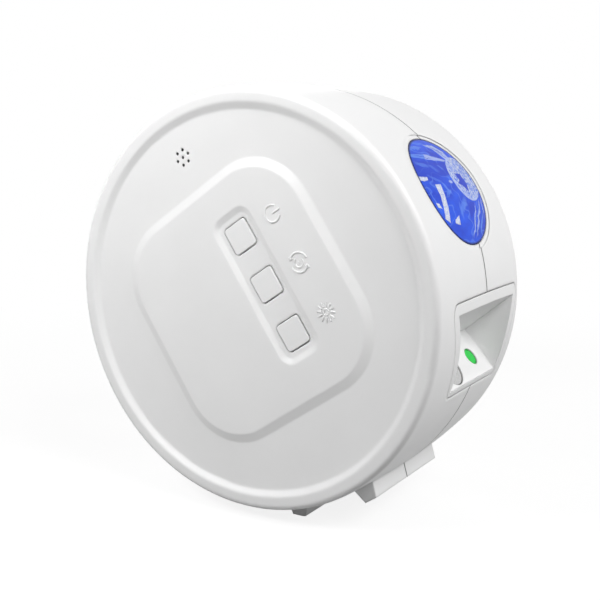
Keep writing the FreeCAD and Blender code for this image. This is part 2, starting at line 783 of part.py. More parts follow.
size("grating_up", "=laser_up + grating_offset")
size("small_reach", "=gear_module * (grating_teeth + pinion_teeth) / 2 + gear_module / 8")
size("small_motor_y", "=laser_y - small_reach")
size("plate_x", "=-bracket_back - bracket_thick")
size("plate_front", "=-bracket_back")
size("plate_low_y", "=small_motor_y - small_motor_radius - bracket_side")
size("plate_high_y", "=laser_y + leg_out + leg_radius")
size("plate_low_z", "=laser_up - laser_radius - collar_wall")
size("plate_high_z", "=grating_up + small_motor_radius + collar_wall")
size("leg_gap", "=bracket_back - panel_thick")
leg_places = [("laser_y + leg_out", "laser_up - leg_down"),
              ("plate_low_y + leg_radius", "grating_up")]


def leg_rods(name, radius, start, length):
    return [rod("%s_%d" % (name, i + 1), radius, length, start, y, z)
            for i, (y, z) in enumerate(leg_places)]


windows = leg_rods("leg_pilot", "pin_radius", "-panel_thick - overrun", "overrun + leg_grip")
for kind in ("laser", "ir"):
    windows.append(window_rod(kind + "_way", kind, "nought", "-overrun", "2 * overrun"))
    windows.append(window_rod(kind + "_seat", kind, "window_step + fit / 2", "-overrun",
                              "overrun - panel_thick + window_seat"))
nook_flange_body = in_nook(nook_prism("nook_flange_block", "nook_flange", "-panel_thick",
                                      "mouth_reach + overrun"))
nook_flange = less("nook_flange_ring",
                   shared("nook_flange_skin", [drum_form("nook_flange_form", "flange_margin"),
                                               nook_flange_body]),
                   [drum_form("nook_flange_core", "nook_flange_inner")])
nook_inside = doc.addObject("PartDesign::Body", "nook_inside")
mouth_loft(nook_inside, "AdditiveLoft", "nook_hollow")
seat(less("laser_housing_cut",
          joined("laser_housing_solid",
                 [shared("nook_trimmed", [drum_form("nook_form", "nought"), in_nook(nook_body)]),
                  nook_flange]),
          [in_nook(nook_inside), in_nook(joined("window_tools", windows))]), "laser_housing")


for kind in ("laser", "ir"):
    # A stepped disc: a wide foot behind the panel and a narrower face in its hole
    foot = window_rod(kind + "_window_foot", kind, "window_step", "-panel_thick",
                      "window_seat - running_gap")
    face = window_rod(kind + "_window_face", kind, "nought - running_gap", "-panel_thick",
                      "panel_thick - window_recess")
    seat(joined(kind + "_window_joined", [foot, face]), kind + "_window", "laser")

# Keys
# Three square caps with a collar behind the face, each with a stem that enters its switch.
size("key_top_y", "=slot_y - key_rise")
size("collar_y", "=face_in_y + key_clear")
size("collar_end_y", "=collar_y + key_collar_thick")
size("board_y", "=face_in_y + board_stand")
size("switch_y", "=board_y - switch_height")
size("stem_end_y", "=switch_y + key_stem_depth")
size("cap_left", "=key_out - key_side / 2")
size("cap_right", "=key_out + key_side / 2")
size("collar_left", "=cap_left - key_collar")
size("collar_right", "=cap_right + key_collar")
for key in ("power", "mode", "dimmer"):
    for part, grow in (("cap", "nought"), ("collar", "key_collar")):
        size("%s_%s_low" % (key, part), "=%s_up - key_side / 2 - %s" % (key, grow))
        size("%s_%s_high" % (key, part), "=%s_up + key_side / 2 + %s" % (key, grow))
    body = doc.addObject("PartDesign::Body", key + "_cap")
    pad = feature(body, "Pad", key + "_cap_pad", sketch(
        body, key + "_cap_sketch", "XZ_Plane", "-collar_end_y",
        [box_points("cap_left", "cap_right", key + "_cap_low", key + "_cap_high")]),
        Length="collar_end_y - key_top_y")
    sides = dressed(body, "Fillet", key + "_cap_sides", pad, lambda e: runs_along(e, "y"),
                    Radius="key_round")
    dressed(body, "Fillet", key + "_cap_edge", sides,
            lambda e: all(abs(v.Y - num("key_top_y")) < 1e-6 for v in e.Vertexes), Radius="key_edge")
    collar = block(key + "_collar", "key_side + 2 * key_collar", "key_collar_thick",
                   "key_side + 2 * key_collar", "collar_left", "collar_y",
                   key + "_collar_low")
    stem = rod(key + "_stem", "key_stem_radius", "stem_end_y - collar_y", "key_out", "collar_y",
               key + "_up", "y")
    seat(joined(key + "_key_joined", [body, collar, stem]), key + "_key")

# Key board
# The board behind the face: three switches, the microphone and its rubber seal.
size("board_width", "=board_right - board_left")
size("board_tall", "=board_low + board_high")
seat(less("button_board_cut",
          block("button_board_blank", "board_width", "board_thick", "board_tall", "board_left",
                "board_y", "-board_low"),
          posts("board_hole", "pin_radius + fit", "board_y - overrun", "2 * overrun")),
     "button_board")
switches = []
for key in ("power", "mode", "dimmer"):
    switches.append(less(
        key + "_switch",
        block(key + "_switch_box", "switch_side", "switch_height", "switch_side",
              "key_out - switch_side / 2", "switch_y", key + "_up - switch_side / 2"),
        [rod(key + "_switch_bore", "switch_bore", "switch_height / 2 + overrun", "key_out",
             "switch_y - overrun", key + "_up", "y")]))
seat(group("switch_group", switches), "tact_switches")


def fixings(name, places, start, head_start):
    """Small pan-head screws, each a shank and a head that meet."""
    return [joined("%s_%d" % (name, i + 1),
                   [rod("%s_shank_%d" % (name, i + 1), "pin_radius", "pin_length", x, start, z, "y"),
                    rod("%s_head_%d" % (name, i + 1), "pin_head", "pin_head_height", x, head_start,
                        z, "y")]) for i, (x, z) in enumerate(places)]


size("board_back_y", "=board_y + board_thick")
seat(group("board_screws_group", fixings("board_screw", post_places,
                                         "board_back_y - pin_length + fit", "board_back_y")),
     "board_screws")
mic_y = size("mic_y", "=board_y - mic_height")
seat(group("mic_group", [rod("mic_capsule", "mic_radius", "mic_height", "mic_out", "mic_y",
                             "mic_up", "y")]), "microphone")
seat(less("mic_seal_cut",
          rod("mic_seal_blank", "mic_radius", "mic_y - face_in_y", "mic_out", "face_in_y", "mic_up",
              "y"),
          [rod("mic_seal_bore", "mic_pitch + 2 * mic_hole_radius", "board_stand", "mic_out",
               "face_in_y - fit", "mic_up", "y")]), "microphone_seal")

# Main board
# The control board on the rear shell's posts, with its chip, two capacitors and the power inlet.
size("main_y", "=rear_post_y - board_thick")
seat(less("main_board_cut",
          block("main_board_blank", "main_left + main_right", "board_thick", "2 * main_half",
                "-main_left", "main_y", "-main_half"),
          main_rods("main_hole", "pin_radius + fit", "main_y - overrun", "2 * overrun")),
     "main_board")
size("main_screw_y", "=main_y - fit")
seat(group("main_board_screws_group",
           fixings("main_screw", main_posts, "main_screw_y", "main_y - pin_head_height")),
     "main_board_screws")
seat(group("chip_group", [block("control_chip_box", "chip_side", "chip_height", "chip_side",
                                "-main_left / 2", "main_y - chip_height", "nought")]),
     "control_chip")
cans = [rod("can_%d" % i, "can_radius", "can_height", "-main_left / 2 + can_spacing * %d" % i,
            "main_y - can_height", "-main_half / 2", "y") for i in (0, 1)]
seat(group("can_group", cans), "capacitors")
size("usb_end_y", "=back_dish_y - fit")
size("usb_start_y", "=main_y + board_thick")
usb_shell = less(
    "usb_shell",
    block("usb_blank", "usb_width", "usb_end_y - usb_start_y", "usb_height",
          "-usb_out - usb_width / 2", "usb_start_y", "-usb_down - usb_height / 2"),
    [block("usb_mouth", "usb_width - 2 * usb_wall", "usb_depth + overrun",
           "usb_height - 2 * usb_wall", "-usb_out - usb_width / 2 + usb_wall",
           "usb_end_y - usb_depth", "-usb_down - usb_height / 2 + usb_wall")])
usb_tongue = block("usb_tongue_bar", "usb_tongue_width", "usb_depth", "usb_tongue",
                   "-usb_out - usb_tongue_width / 2", "usb_end_y - usb_depth - fit",
                   "-usb_down - usb_tongue / 2")
seat(joined("usb_socket_joined", [usb_shell, usb_tongue]), "usb_socket")

# Optics frame
# A moulded plate that the two shells trap between their faces. A sleeve behind its light hole
# holds the light source, a collar holds the motor, and a boss holds the ripple disc's axle.
size("frame_front_y", "=face_in_y + fit")
size("frame_back_y", "=back_in_y - fit")
size("frame_face", "=frame_out + frame_thick")
size("ripple_reach", "=gear_module * (ripple_teeth + pinion_teeth) / 2 + gear_module / 8")
size("ripple_motor_y", "=-lens_shift + sqrt(ripple_reach ^ 2 - (ripple_motor_drop - ripple_drop) ^ 2)")
size("sleeve_end", "=frame_out - sleeve_length")
frame_solid = joined("frame_solid", [
    block("frame_plate", "frame_thick", "frame_back_y - frame_front_y", "frame_low + frame_high",
          "frame_out", "frame_front_y", "-frame_low"),
    rod("sleeve", "sleeve_radius", "sleeve_length", "sleeve_end", "-lens_shift", "-lens_drop"),
    rod("motor_collar", "motor_radius + motor_gap + collar_wall", "collar_length",
        "frame_out - collar_length", "ripple_motor_y", "-ripple_motor_drop"),
    rod("axle_boss", "hub_radius", "ripple_stand - fit", "frame_face", "-lens_shift", "-ripple_drop")])
seat(less("optics_frame_cut", frame_solid, [
    rod("sleeve_bore_tool", "sleeve_bore", "sleeve_length + overrun", "sleeve_end - overrun",
        "-lens_shift", "-lens_drop"),
    rod("light_hole", "light_radius", "frame_thick + overrun + ripple_stand",
        "frame_out - overrun / 2", "-lens_shift", "-lens_drop"),
    rod("motor_bore", "motor_radius + motor_gap / 2", "collar_length + overrun",
        "frame_out - collar_length - overrun", "ripple_motor_y", "-ripple_motor_drop"),
    rod("shaft_hole", "shaft_hole_radius", "frame_thick + overrun", "frame_out - overrun / 2",
        "ripple_motor_y", "-ripple_motor_drop"),
    rod("axle_hole", "axle_radius", "ripple_stand + frame_thick", "frame_out + fit", "-lens_shift",
        "-ripple_drop")]), "optics_frame")

# Light source
# Round aluminium heat sink, the lamp board with four emitters, a reflector and a condenser lens.
size("led_back", "=sleeve_end - led_board_thick")
size("sink_back", "=led_back - sink_length")
fins = [block("sink_cut_%d" % i, "sink_length - sink_base", "sink_slot", "4 * led_board_radius",
              "sink_back", "-lens_shift + sink_pitch * (%d - (sink_slots - 1) / 2) - sink_slot / 2" % i,
              "-2 * led_board_radius - lens_drop") for i in range(int(num("sink_slots")))]
seat(less("heat_sink_cut", rod("heat_sink_blank", "led_board_radius", "sink_length", "sink_back",
                               "-lens_shift", "-lens_drop"), fins), "heat_sink")
seat(group("led_board_group", [rod("led_board_disc", "led_board_radius", "led_board_thick",
                                   "led_back", "-lens_shift", "-lens_drop")]), "led_board")
leds = [block("led_%d" % (2 * i + j + 1), "led_height", "led_side", "led_side", "sleeve_end",
              "-lens_shift + led_spacing * %d - led_side / 2" % (2 * i - 1),
              "-lens_drop + led_spacing * %d - led_side / 2" % (2 * j - 1)) for i in (0, 1) for j in (0, 1)]
seat(group("led_group", leds), "led_emitters")
size("reflector_back", "=sleeve_end + running_gap")
size("reflector_length", "=sleeve_length - condenser_rim - fit")
size("throat_top", "=optic_radius - reflector_lip")
reflector_cone = doc.addObject("Part::Cone", "reflector_cone")
reflector_cone.Placement = FreeCAD.Placement(V(0, 0, 0), FreeCAD.Rotation(V(0, 1, 0), 90))
bind(reflector_cone, Radius1="reflector_throat", Radius2="throat_top",
     Height="reflector_length", Placement__Base__x="reflector_back",
     Placement__Base__y="-lens_shift", Placement__Base__z="-lens_drop")
seat(less("reflector_cut", rod("reflector_blank", "optic_radius", "reflector_length",
                               "reflector_back", "-lens_shift", "-lens_drop"), [reflector_cone]),
     "reflector")
size("condenser_back", "=reflector_back + reflector_length")
size("dome_radius", "=((light_radius - fit) ^ 2 + condenser_rise ^ 2) / (2 * condenser_rise)")
dome = doc.addObject("Part::Sphere", "condenser_dome")
bind(dome, Radius="dome_radius", Placement__Base__y="-lens_shift", Placement__Base__z="-lens_drop",
     Placement__Base__x="condenser_back + condenser_rim + condenser_rise - dome_radius")
dome_cap = shared("condenser_cap", [dome, rod(
    "condenser_cap_rod", "light_radius - fit", "condenser_rim + condenser_rise", "condenser_back",
    "-lens_shift", "-lens_drop")])
seat(joined("condenser_joined", [dome_cap, rod("condenser_rim_disc", "optic_radius", "condenser_rim",
                                               "condenser_back", "-lens_shift", "-lens_drop")]),
     "condenser_lens")


def gear(name, teeth, thick, toothed):
    """A spur gear's blank along +X, with a tooth, or a gap, towards a direction in YZ."""
    step = 2 * math.pi / num(teeth)
    unit = num("gear_module")
    pitch = num(teeth) * unit / 2
    tip, root = pitch + num("addendum_share") * unit, pitch - num("dedendum_share") * unit
    half = step / 2
    corners = []
    for i in range(int(num(teeth))):
        middle = toothed + step * i
        for radius, share in ((root, -num("root_share")), (tip, -num("tip_share")),
                              (tip, num("tip_share")), (root, num("root_share"))):
            turn = middle + half * share
            corners.append(V(0, radius * math.cos(turn), radius * math.sin(turn)))
    blank = doc.addObject("Part::Feature", name)
    blank.Shape = Part.Face(Part.makePolygon(corners + corners[:1])).extrude(V(num(thick), 0, 0))
    return blank


def moved(piece, x, y, z):
    return bind(piece, Placement__Base__x=x, Placement__Base__y=y, Placement__Base__z=z)


# Ripple disc and its drive
# A clear wavy disc with a toothed edge on a fixed steel axle, turned by a pinion and motor.
size("ripple_x", "=frame_face + ripple_stand")
line = math.atan2(num("ripple_drop") - num("ripple_motor_drop"), num("ripple_motor_y") + num("lens_shift"))
ripple = moved(gear("ripple_gear", "ripple_teeth", "ripple_thick", line), "ripple_x", "-lens_shift",
               "-ripple_drop")
seat(less("ripple_disc_cut",
          joined("ripple_disc_solid",
                 [ripple, rod("ripple_hub", "hub_radius", "ripple_thick + hub_height", "ripple_x",
                              "-lens_shift", "-ripple_drop")]),
          [rod("ripple_bore", "axle_radius + running_gap", "overrun * 2", "ripple_x - overrun",
               "-lens_shift", "-ripple_drop")]), "ripple_disc")
size("ripple_hub_end", "=ripple_x + ripple_thick + hub_height")
seat(joined("ripple_axle_joined",
            [rod("ripple_axle_rod", "axle_radius", "ripple_hub_end + fit - frame_face",
                 "frame_face", "-lens_shift", "-ripple_drop"),
             rod("ripple_axle_tail", "axle_radius", "frame_thick - fit", "frame_out + fit",
                 "-lens_shift", "-ripple_drop"),
             rod("ripple_axle_head", "axle_head", "hub_height", "ripple_hub_end + fit", "-lens_shift",
                 "-ripple_drop")]), "ripple_axle")
size("pinion_x", "=ripple_x - (pinion_height - ripple_thick) / 2")
pinion_gap = line + math.pi + math.pi / num("pinion_teeth")
ripple_pinion = moved(gear("ripple_pinion_gear", "pinion_teeth", "pinion_height", pinion_gap),
                      "pinion_x", "ripple_motor_y", "-ripple_motor_drop")
seat(joined("ripple_pinion_joined",
            [ripple_pinion, rod("ripple_shaft", "shaft_radius",
                                "pinion_x + pinion_height - frame_out", "frame_out",
                                "ripple_motor_y", "-ripple_motor_drop")]), "ripple_pinion")
seat(less("ripple_motor_cut",
          rod("ripple_motor_can", "motor_radius", "motor_length - motor_gap",
              "frame_out - motor_length", "ripple_motor_y", "-ripple_motor_drop"),
          [rod("ripple_motor_eye", "shaft_radius + running_gap", "overrun", "frame_out - eye_depth",
               "ripple_motor_y", "-ripple_motor_drop")]), "ripple_motor")

# Laser bracket
# A plate on two legs behind the nook's panel. It holds the laser, the grating disc's axle
# and the small motor.
legs = leg_rods("leg", "leg_radius", "plate_x", "leg_gap + bracket_thick")
bracket_solid = joined("bracket_solid", legs + [
    block("bracket_plate", "bracket_thick", "plate_high_y - plate_low_y",
          "plate_high_z - plate_low_z", "plate_x", "plate_low_y", "plate_low_z"),
    rod("laser_collar", "laser_radius + fit / 2 + collar_wall", "collar_length",
        "plate_x - collar_length", "laser_y", "laser_up"),
    rod("small_collar", "small_motor_radius + fit / 2 + collar_wall", "collar_length",
        "plate_x - collar_length", "small_motor_y", "grating_up")])
seat(less("laser_bracket_cut", bracket_solid, [
    rod("laser_bore", "laser_radius + fit / 2", "collar_length + bracket_thick + overrun",
        "plate_x - collar_length - overrun / 2", "laser_y", "laser_up"),
    rod("small_motor_bore", "small_motor_radius + fit / 2", "collar_length + overrun",
        "plate_x - collar_length - overrun", "small_motor_y", "grating_up"),
    rod("small_shaft_hole", "shaft_hole_radius", "bracket_thick + overrun", "plate_x - overrun / 2",
        "small_motor_y", "grating_up"),
    rod("grating_axle_hole", "axle_radius", "bracket_thick - fit", "plate_x + fit", "laser_y",
        "grating_up")] + leg_rods("leg_bore", "pin_radius + running_gap", "plate_x - overrun",
                                  "bracket_back + 2 * overrun")), "laser_bracket", "laser")
shafts = leg_rods("bracket_shank", "pin_radius", "plate_x", "leg_gap + bracket_thick + leg_grip - fit")
caps = leg_rods("bracket_head", "pin_head", "plate_x - pin_head_height", "pin_head_height")
seat(group("bracket_screws_group", [joined("bracket_screw_%d" % (i + 1), list(pair))
                                    for i, pair in enumerate(zip(shafts, caps))]),
     "bracket_screws", "laser")

# Laser, grating disc and its drive
# A brass laser barrel shines through a slowly turning grating, which multiplies its dots.
seat(joined("laser_joined",
            [rod("laser_barrel", "laser_radius", "laser_length", "plate_front - laser_length",
                 "laser_y", "laser_up"),
             rod("laser_nose_rod", "laser_nose_radius", "laser_nose", "plate_front", "laser_y",
                 "laser_up")]), "laser_module", "laser")
size("grating_x", "=plate_front + grating_stand")
grating = moved(gear("grating_gear", "grating_teeth", "grating_thick", math.pi), "grating_x",
                "laser_y", "grating_up")
seat(less("grating_disc_cut", grating,
          [rod("grating_bore", "axle_radius + running_gap", "overrun", "grating_x - overrun / 2",
               "laser_y", "grating_up")]), "grating_disc", "laser")
size("grating_end", "=grating_x + grating_thick")
seat(joined("grating_axle_joined",
            [rod("grating_axle_rod", "axle_radius", "grating_end + fit - plate_x - fit",
                 "plate_x + fit", "laser_y", "grating_up"),
             rod("grating_axle_step", "axle_head", "grating_stand - fit", "plate_front", "laser_y",
                 "grating_up"),
             rod("grating_axle_head", "axle_head", "hub_height", "grating_end + fit", "laser_y",
                 "grating_up")]), "grating_axle", "laser")
size("small_pinion_x", "=grating_x - (pinion_height - grating_thick) / 2")
grating_pinion = moved(
    gear("grating_pinion_gear", "pinion_teeth", "pinion_height", math.pi / num("pinion_teeth")),
    "small_pinion_x", "small_motor_y", "grating_up")
seat(joined("grating_pinion_joined",
            [grating_pinion, rod("grating_shaft", "shaft_radius",
                                 "small_pinion_x + pinion_height - plate_x", "plate_x",
                                 "small_motor_y", "grating_up")]), "grating_pinion", "laser")
seat(less("grating_motor_cut",
          rod("grating_motor_can", "small_motor_radius", "small_motor_length - motor_gap",
              "plate_x - small_motor_length", "small_motor_y", "grating_up"),
          [rod("grating_motor_eye", "shaft_radius + running_gap", "overrun", "plate_x - eye_depth",
               "small_motor_y", "grating_up")]), "grating_motor", "laser")

# Infrared receiver
# A small block behind the darker window of the panel.
size("ir_front", "=-panel_thick - fit")
seat(group("ir_group", [block("ir_receiver_box", "ir_side", "ir_side", "ir_side",
                              "ir_front - ir_side", "ir_y - ir_side / 2",
                              "laser_up - ir_side / 2")]), "ir_receiver", "laser")

doc.recompute()
faults = [thing.Label for thing in doc.Objects if {"Invalid", "Error"} & set(thing.State)]
for piece in finished:
    if piece.Shape.isNull() or not piece.Shape.isValid():
        faults.append(piece.Label)
if faults:
    raise SystemExit("these did not build: " + ", ".join(faults))
os.makedirs("parts", exist_ok=True)
for piece in finished:
    piece.Shape.exportStep(os.path.join("parts", piece.Label + ".step"))
    print("%-20s %2d solids %10.1f mm3" % (piece.Label, len(piece.Shape.Solids), piece.Shape.Volume))
print("axis height %.3f" % num("axis_height"))
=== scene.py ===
import math

import bmesh
import bpy
from mathutils import Matrix, Vector, noise


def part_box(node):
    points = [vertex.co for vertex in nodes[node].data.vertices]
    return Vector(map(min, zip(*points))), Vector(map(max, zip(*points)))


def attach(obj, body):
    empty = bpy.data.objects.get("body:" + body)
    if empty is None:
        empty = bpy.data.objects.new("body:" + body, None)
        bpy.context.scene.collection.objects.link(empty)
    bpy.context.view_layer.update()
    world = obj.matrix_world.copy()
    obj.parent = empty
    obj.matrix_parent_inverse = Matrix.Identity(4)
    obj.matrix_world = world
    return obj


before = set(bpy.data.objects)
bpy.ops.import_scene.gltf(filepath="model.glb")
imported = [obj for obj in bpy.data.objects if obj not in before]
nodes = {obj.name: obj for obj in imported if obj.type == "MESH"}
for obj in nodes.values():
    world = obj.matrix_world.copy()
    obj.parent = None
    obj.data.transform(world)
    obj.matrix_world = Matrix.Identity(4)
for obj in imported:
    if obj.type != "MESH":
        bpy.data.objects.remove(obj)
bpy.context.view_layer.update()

# Housing shells
# Two injection-moulded cups of white ABS with a fine satin spark texture. They lap at a parting
# line round the barrel and trap the lens, the laser housing and the optics between them.

# Sizes are in millimetres, and MM turns them into Blender's metres. The lens looks up by AIM.
MM = 0.001
AIM = math.radians(34)
AXIS_HEIGHT = 78.605
NOISE_LOW, NOISE_HIGH = 0.3, 0.7
EDGE_SAMPLES = 6
FLOW_CELL = 26
FLOW_LIGHT, FLOW_DARK = 1.012, 0.985
SPARK_GLOSS, SPARK_DULL = 0.04, 0.05
WHITE_ABS = (0.86, 0.86, 0.86)
# Painted shade for the shells' seam and the microphone's holes, and where it fades out across the
# seam.
GAP_PAINTED_SHADE = (0.16, 0.16, 0.16)
SEAM_DARK, SEAM_UNSHADED = 0.23, 0.30
DISH_Y = -35.6
HOLE_SKIN = 0.12
HOLES_PLACE = (6.4, 56.0)
HOLES_REACH = 6.0


def aimed(x, y, z):
    """The place of a point given in the lens's frame: the way it looks, along the drum, and up."""
    turned = Vector((x * math.cos(AIM) - z * math.sin(AIM), y,
                     x * math.sin(AIM) + z * math.cos(AIM)))
    return turned * MM + Vector((0, 0, AXIS_HEIGHT * MM))


def feed(tree, value, socket):
    """Link a socket to another one, or set its own number or colour."""
    if isinstance(value, bpy.types.NodeSocket):
        tree.links.new(value, socket)
    elif isinstance(value, (int, float)):
        socket.default_value = value
    else:
        socket.default_value = (*value, 1)


def calc(tree, operation, *values):
    """One step of arithmetic on numbers or sockets."""
    node = tree.nodes.new("ShaderNodeMath")
    node.operation = operation
    for socket, value in zip(node.inputs, values):
        feed(tree, value, socket)
    return node.outputs[0]


def vector_calc(tree, operation, first, second=(0, 0, 0)):
    """One step of arithmetic on a vector's socket and a fixed vector."""
    node = tree.nodes.new("ShaderNodeVectorMath")
    node.operation = operation
    tree.links.new(first, node.inputs[0])
    node.inputs[1].default_value = second
    gives_number = operation in ("DOT_PRODUCT", "DISTANCE", "LENGTH")
    return node.outputs["Value" if gives_number else "Vector"]


def along(tree, where, direction):
    """How far a place lies along a direction."""
    return vector_calc(tree, "DOT_PRODUCT", where, direction)


def rise(tree, value, low, high, smooth=False, result=(0, 1)):
    """From one result to the other as a value goes from a low to a high limit, level past them."""
    ramp = tree.nodes.new("ShaderNodeMapRange")
    ramp.interpolation_type = "SMOOTHSTEP" if smooth else "LINEAR"
    limits = (("From Min", low), ("From Max", high), ("To Min", result[0]), ("To Max", result[1]))
    for socket, limit in limits:
        ramp.inputs[socket].default_value = limit
    tree.links.new(value, ramp.inputs["Value"])
    return ramp.outputs["Result"]


def blend_of(tree, fac, first, second):
    """The first number or colour where a mask is 0, the second where it is 1."""
    mix = tree.nodes.new("ShaderNodeMix")
    mix.data_type = "FLOAT" if isinstance(first, float) else "RGBA"
    for socket, value in (("Factor", fac), ("A", first), ("B", second)):
        feed(tree, value, mix.inputs[socket])
    return mix.outputs["Result"]


def grain(tree, where, size, detail=3, stretch=None):
    """Noise with cells of about a size in millimetres, optionally drawn out along an axis."""
    cells = tree.nodes.new("ShaderNodeTexNoise")
    cells.inputs["Scale"].default_value = 1 / size
    cells.inputs["Detail"].default_value = detail
    if stretch:
        where = vector_calc(tree, "MULTIPLY", where, stretch)
    tree.links.new(where, cells.inputs["Vector"])
    return cells.outputs["Fac"]


def between(tree, fac, low, high):
    """A number that follows a noise between two limits."""
    return rise(tree, fac, NOISE_LOW, NOISE_HIGH, result=(low, high))


def shade(tree, fac, dark, light):
    """A colour that follows a noise between two colours."""
    return blend_of(tree, between(tree, fac, 0, 1), dark, light)


def relief(tree, shader, fac, height, soft_edge=0.0):
    """Bump of a height in millimetres that follows a pattern, and rounding of the edges."""
    bump = tree.nodes.new("ShaderNodeBump")
    bump.inputs["Distance"].default_value = height * MM
    tree.links.new(fac, bump.inputs["Height"])
    if soft_edge:
        bevel = tree.nodes.new("ShaderNodeBevel")
        bevel.samples = EDGE_SAMPLES
        bevel.inputs["Radius"].default_value = soft_edge * MM
        tree.links.new(bevel.outputs["Normal"], bump.inputs["Normal"])
    tree.links.new(bump.outputs["Normal"], shader.inputs["Normal"])


def finish_of(name, **settings):
    """A new material, its tree and its shader, and the places on a piece in millimetres."""
    material = bpy.data.materials.new(name)
    material.use_nodes = True
    tree = material.node_tree
    shader = tree.nodes["Principled BSDF"]
    for socket, value in settings.items():
        shader.inputs[socket.replace("_", " ")].default_value = value
    place = tree.nodes.new("ShaderNodeTexCoord").outputs["Object"]
    return material, tree, shader, vector_calc(tree, "MULTIPLY", place, (1 / MM,) * 3)


def moulded(name, colour, rough, texture=0.35, height=0.006, soft_edge=0.0):
    """Moulded plastic: spark texture, faint flow marks in its colour and uneven gloss."""
    material, tree, shader, where = finish_of(name)
    light = [min(c * FLOW_LIGHT, 1) for c in colour]
    dark = [c * FLOW_DARK for c in colour]
    flow = shade(tree, grain(tree, where, FLOW_CELL), dark, light)
    tree.links.new(flow, shader.inputs["Base Color"])
    spark = grain(tree, where, texture)
    gloss = between(tree, spark, rough - SPARK_GLOSS, rough + SPARK_DULL)
    tree.links.new(gloss, shader.inputs["Roughness"])
    relief(tree, shader, spark, height, soft_edge)
    return material


def paint_gap_shade(material):
    """Paint shade into the shells' seam and the inside of the microphone's holes: their colour goes
    nearly black there.
    """
    tree = material.node_tree
    colour = tree.nodes["Principled BSDF"].inputs["Base Color"]
    place = tree.nodes.new("ShaderNodeTexCoord").outputs["Object"]
    back = along(tree, place, (0, 1 / MM, 0))
    off_seam = rise(tree, calc(tree, "ABSOLUTE", back), SEAM_DARK, SEAM_UNSHADED)
    holes = aimed(HOLES_PLACE[0], DISH_Y, HOLES_PLACE[1])
    from_holes = vector_calc(tree, "DISTANCE", place, holes)
    away = calc(tree, "GREATER_THAN", from_holes, HOLES_REACH * MM)
    outside = calc(tree, "LESS_THAN", back, DISH_Y + HOLE_SKIN)
    unshaded = calc(tree, "MULTIPLY", off_seam, calc(tree, "MAXIMUM", away, outside))
    plain = colour.links[0].from_socket
    tree.links.new(blend_of(tree, unshaded, GAP_PAINTED_SHADE, plain), colour)


def dress(material, *names):
    """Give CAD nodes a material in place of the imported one."""
    for name in names:
        slots = nodes[name].data.materials
        slots.clear()
        slots.append(material)


shell_white = moulded("satin_white_abs", WHITE_ABS, rough=0.42, soft_edge=1.3)
# Painted shade: the seam and the inside of the microphone's holes go nearly black.
paint_gap_shade(shell_white)
dress(shell_white, "front_shell", "rear_shell")

# Housing screws
# Four self-tapping screws of zinc-plated steel, driven from the back through the rear shell's
# pillars into the front shell. Their mottled heads show at the bottom of the wells.
CLOUD_CELL = 4
CLOUD_DARK = 0.93
METAL_GLOSS, METAL_DULL = 0.08, 0.1


def metal(name, colour, rough, cell=0.8, stretch=None, height=0.003):
    """Bare or plated metal: cloudy tone and a fine drawn or turned grain."""
    material, tree, shader, where = finish_of(name, Metallic=1.0)
    cloud = shade(tree, grain(tree, where, CLOUD_CELL), [c * CLOUD_DARK for c in colour], colour)
    tree.links.new(cloud, shader.inputs["Base Color"])
    lines = grain(tree, where, cell, stretch=stretch)
    gloss = between(tree, lines, rough - METAL_GLOSS, rough + METAL_DULL)
    tree.links.new(gloss, shader.inputs["Roughness"])
    relief(tree, shader, lines, height)
    return material


zinc = metal("zinc_plate", (0.72, 0.72, 0.70), rough=0.36)
dress(zinc, "housing_screws")

# Keys
# Three square push keys of the same white ABS, smoother and slightly glossier on top. They drop
# in from behind the face, and a collar on each keeps them there.
key_white = moulded("key_white_abs", (0.87, 0.87, 0.87), rough=0.34, texture=0.5, height=0.003)
dress(key_white, "power_key", "mode_key", "dimmer_key")

# Key symbols
# Low rounded ridges beside the keys, moulded in one with the front shell: a bar in a broken ring
# for the power, two turning arrows round a hook for the mode, and a sun for the dimmer.
SYMBOL_OUT = 28.3
SYMBOL_FACE = -36.8
POWER_UP, MODE_UP, DIMMER_UP = 19.9, 0.9, -18.1
RIDGE = 0.4
RIDGE_HEIGHT = 0.36
RIDGE_SIDES = 10
ARC_STEPS = 40
WELD = 1e-5
QUARTER, CIRCLE = math.pi / 2, 2 * math.pi
POWER_RADIUS = 2.95
POWER_GAP = math.radians(36)
POWER_BAR = (0.1, 3.4)
ARROW_RADIUS = 3.45
ARROW_START, ARROW_SWEEP = math.radians(91), math.radians(138)
BARB_LENGTH = 1.15
BARB_LEAN = math.radians(40)
HOOK_RADIUS = 1.7
HOOK_START, HOOK_SWEEP = math.radians(200), math.radians(270)
HOOK_RIDGE = 0.85 * RIDGE
DOT_RADIUS = 0.5 * RIDGE
SUN_RAYS = 12
SUN_INNER, SUN_OUTER = 1.95, 3.5
SUN_RING = 1.05
SUN_LIFT = 0.12
RAY_RIDGE = 0.75 * RIDGE
FINE_RIDGE = 0.6 * RIDGE


def tree_with(name, *sizes):
    """An empty geometry tree with named inputs for its sizes, and its two ends."""
    tree = bpy.data.node_groups.new(name, "GeometryNodeTree")
    tree.interface.new_socket("Geometry", in_out="OUTPUT", socket_type="NodeSocketGeometry")
    for size in sizes:
        kind = "NodeSocketInt" if size == "Count" else "NodeSocketFloat"
        tree.interface.new_socket(size, in_out="INPUT", socket_type=kind)
    return tree, tree.nodes.new("NodeGroupInput"), tree.nodes.new("NodeGroupOutput")


def ridge_along(tree, curve, inputs):
    """A round ridge along a curve, as thick as the tree's Thickness input."""
    ring = tree.nodes.new("GeometryNodeCurvePrimitiveCircle")
    ring.inputs["Resolution"].default_value = RIDGE_SIDES
    tree.links.new(inputs.outputs["Thickness"], ring.inputs["Radius"])
    tube = tree.nodes.new("GeometryNodeCurveToMesh")
    tube.inputs["Fill Caps"].default_value = True
    tree.links.new(curve, tube.inputs["Curve"])
    tree.links.new(ring.outputs["Curve"], tube.inputs["Profile Curve"])
    return tube.outputs["Mesh"]


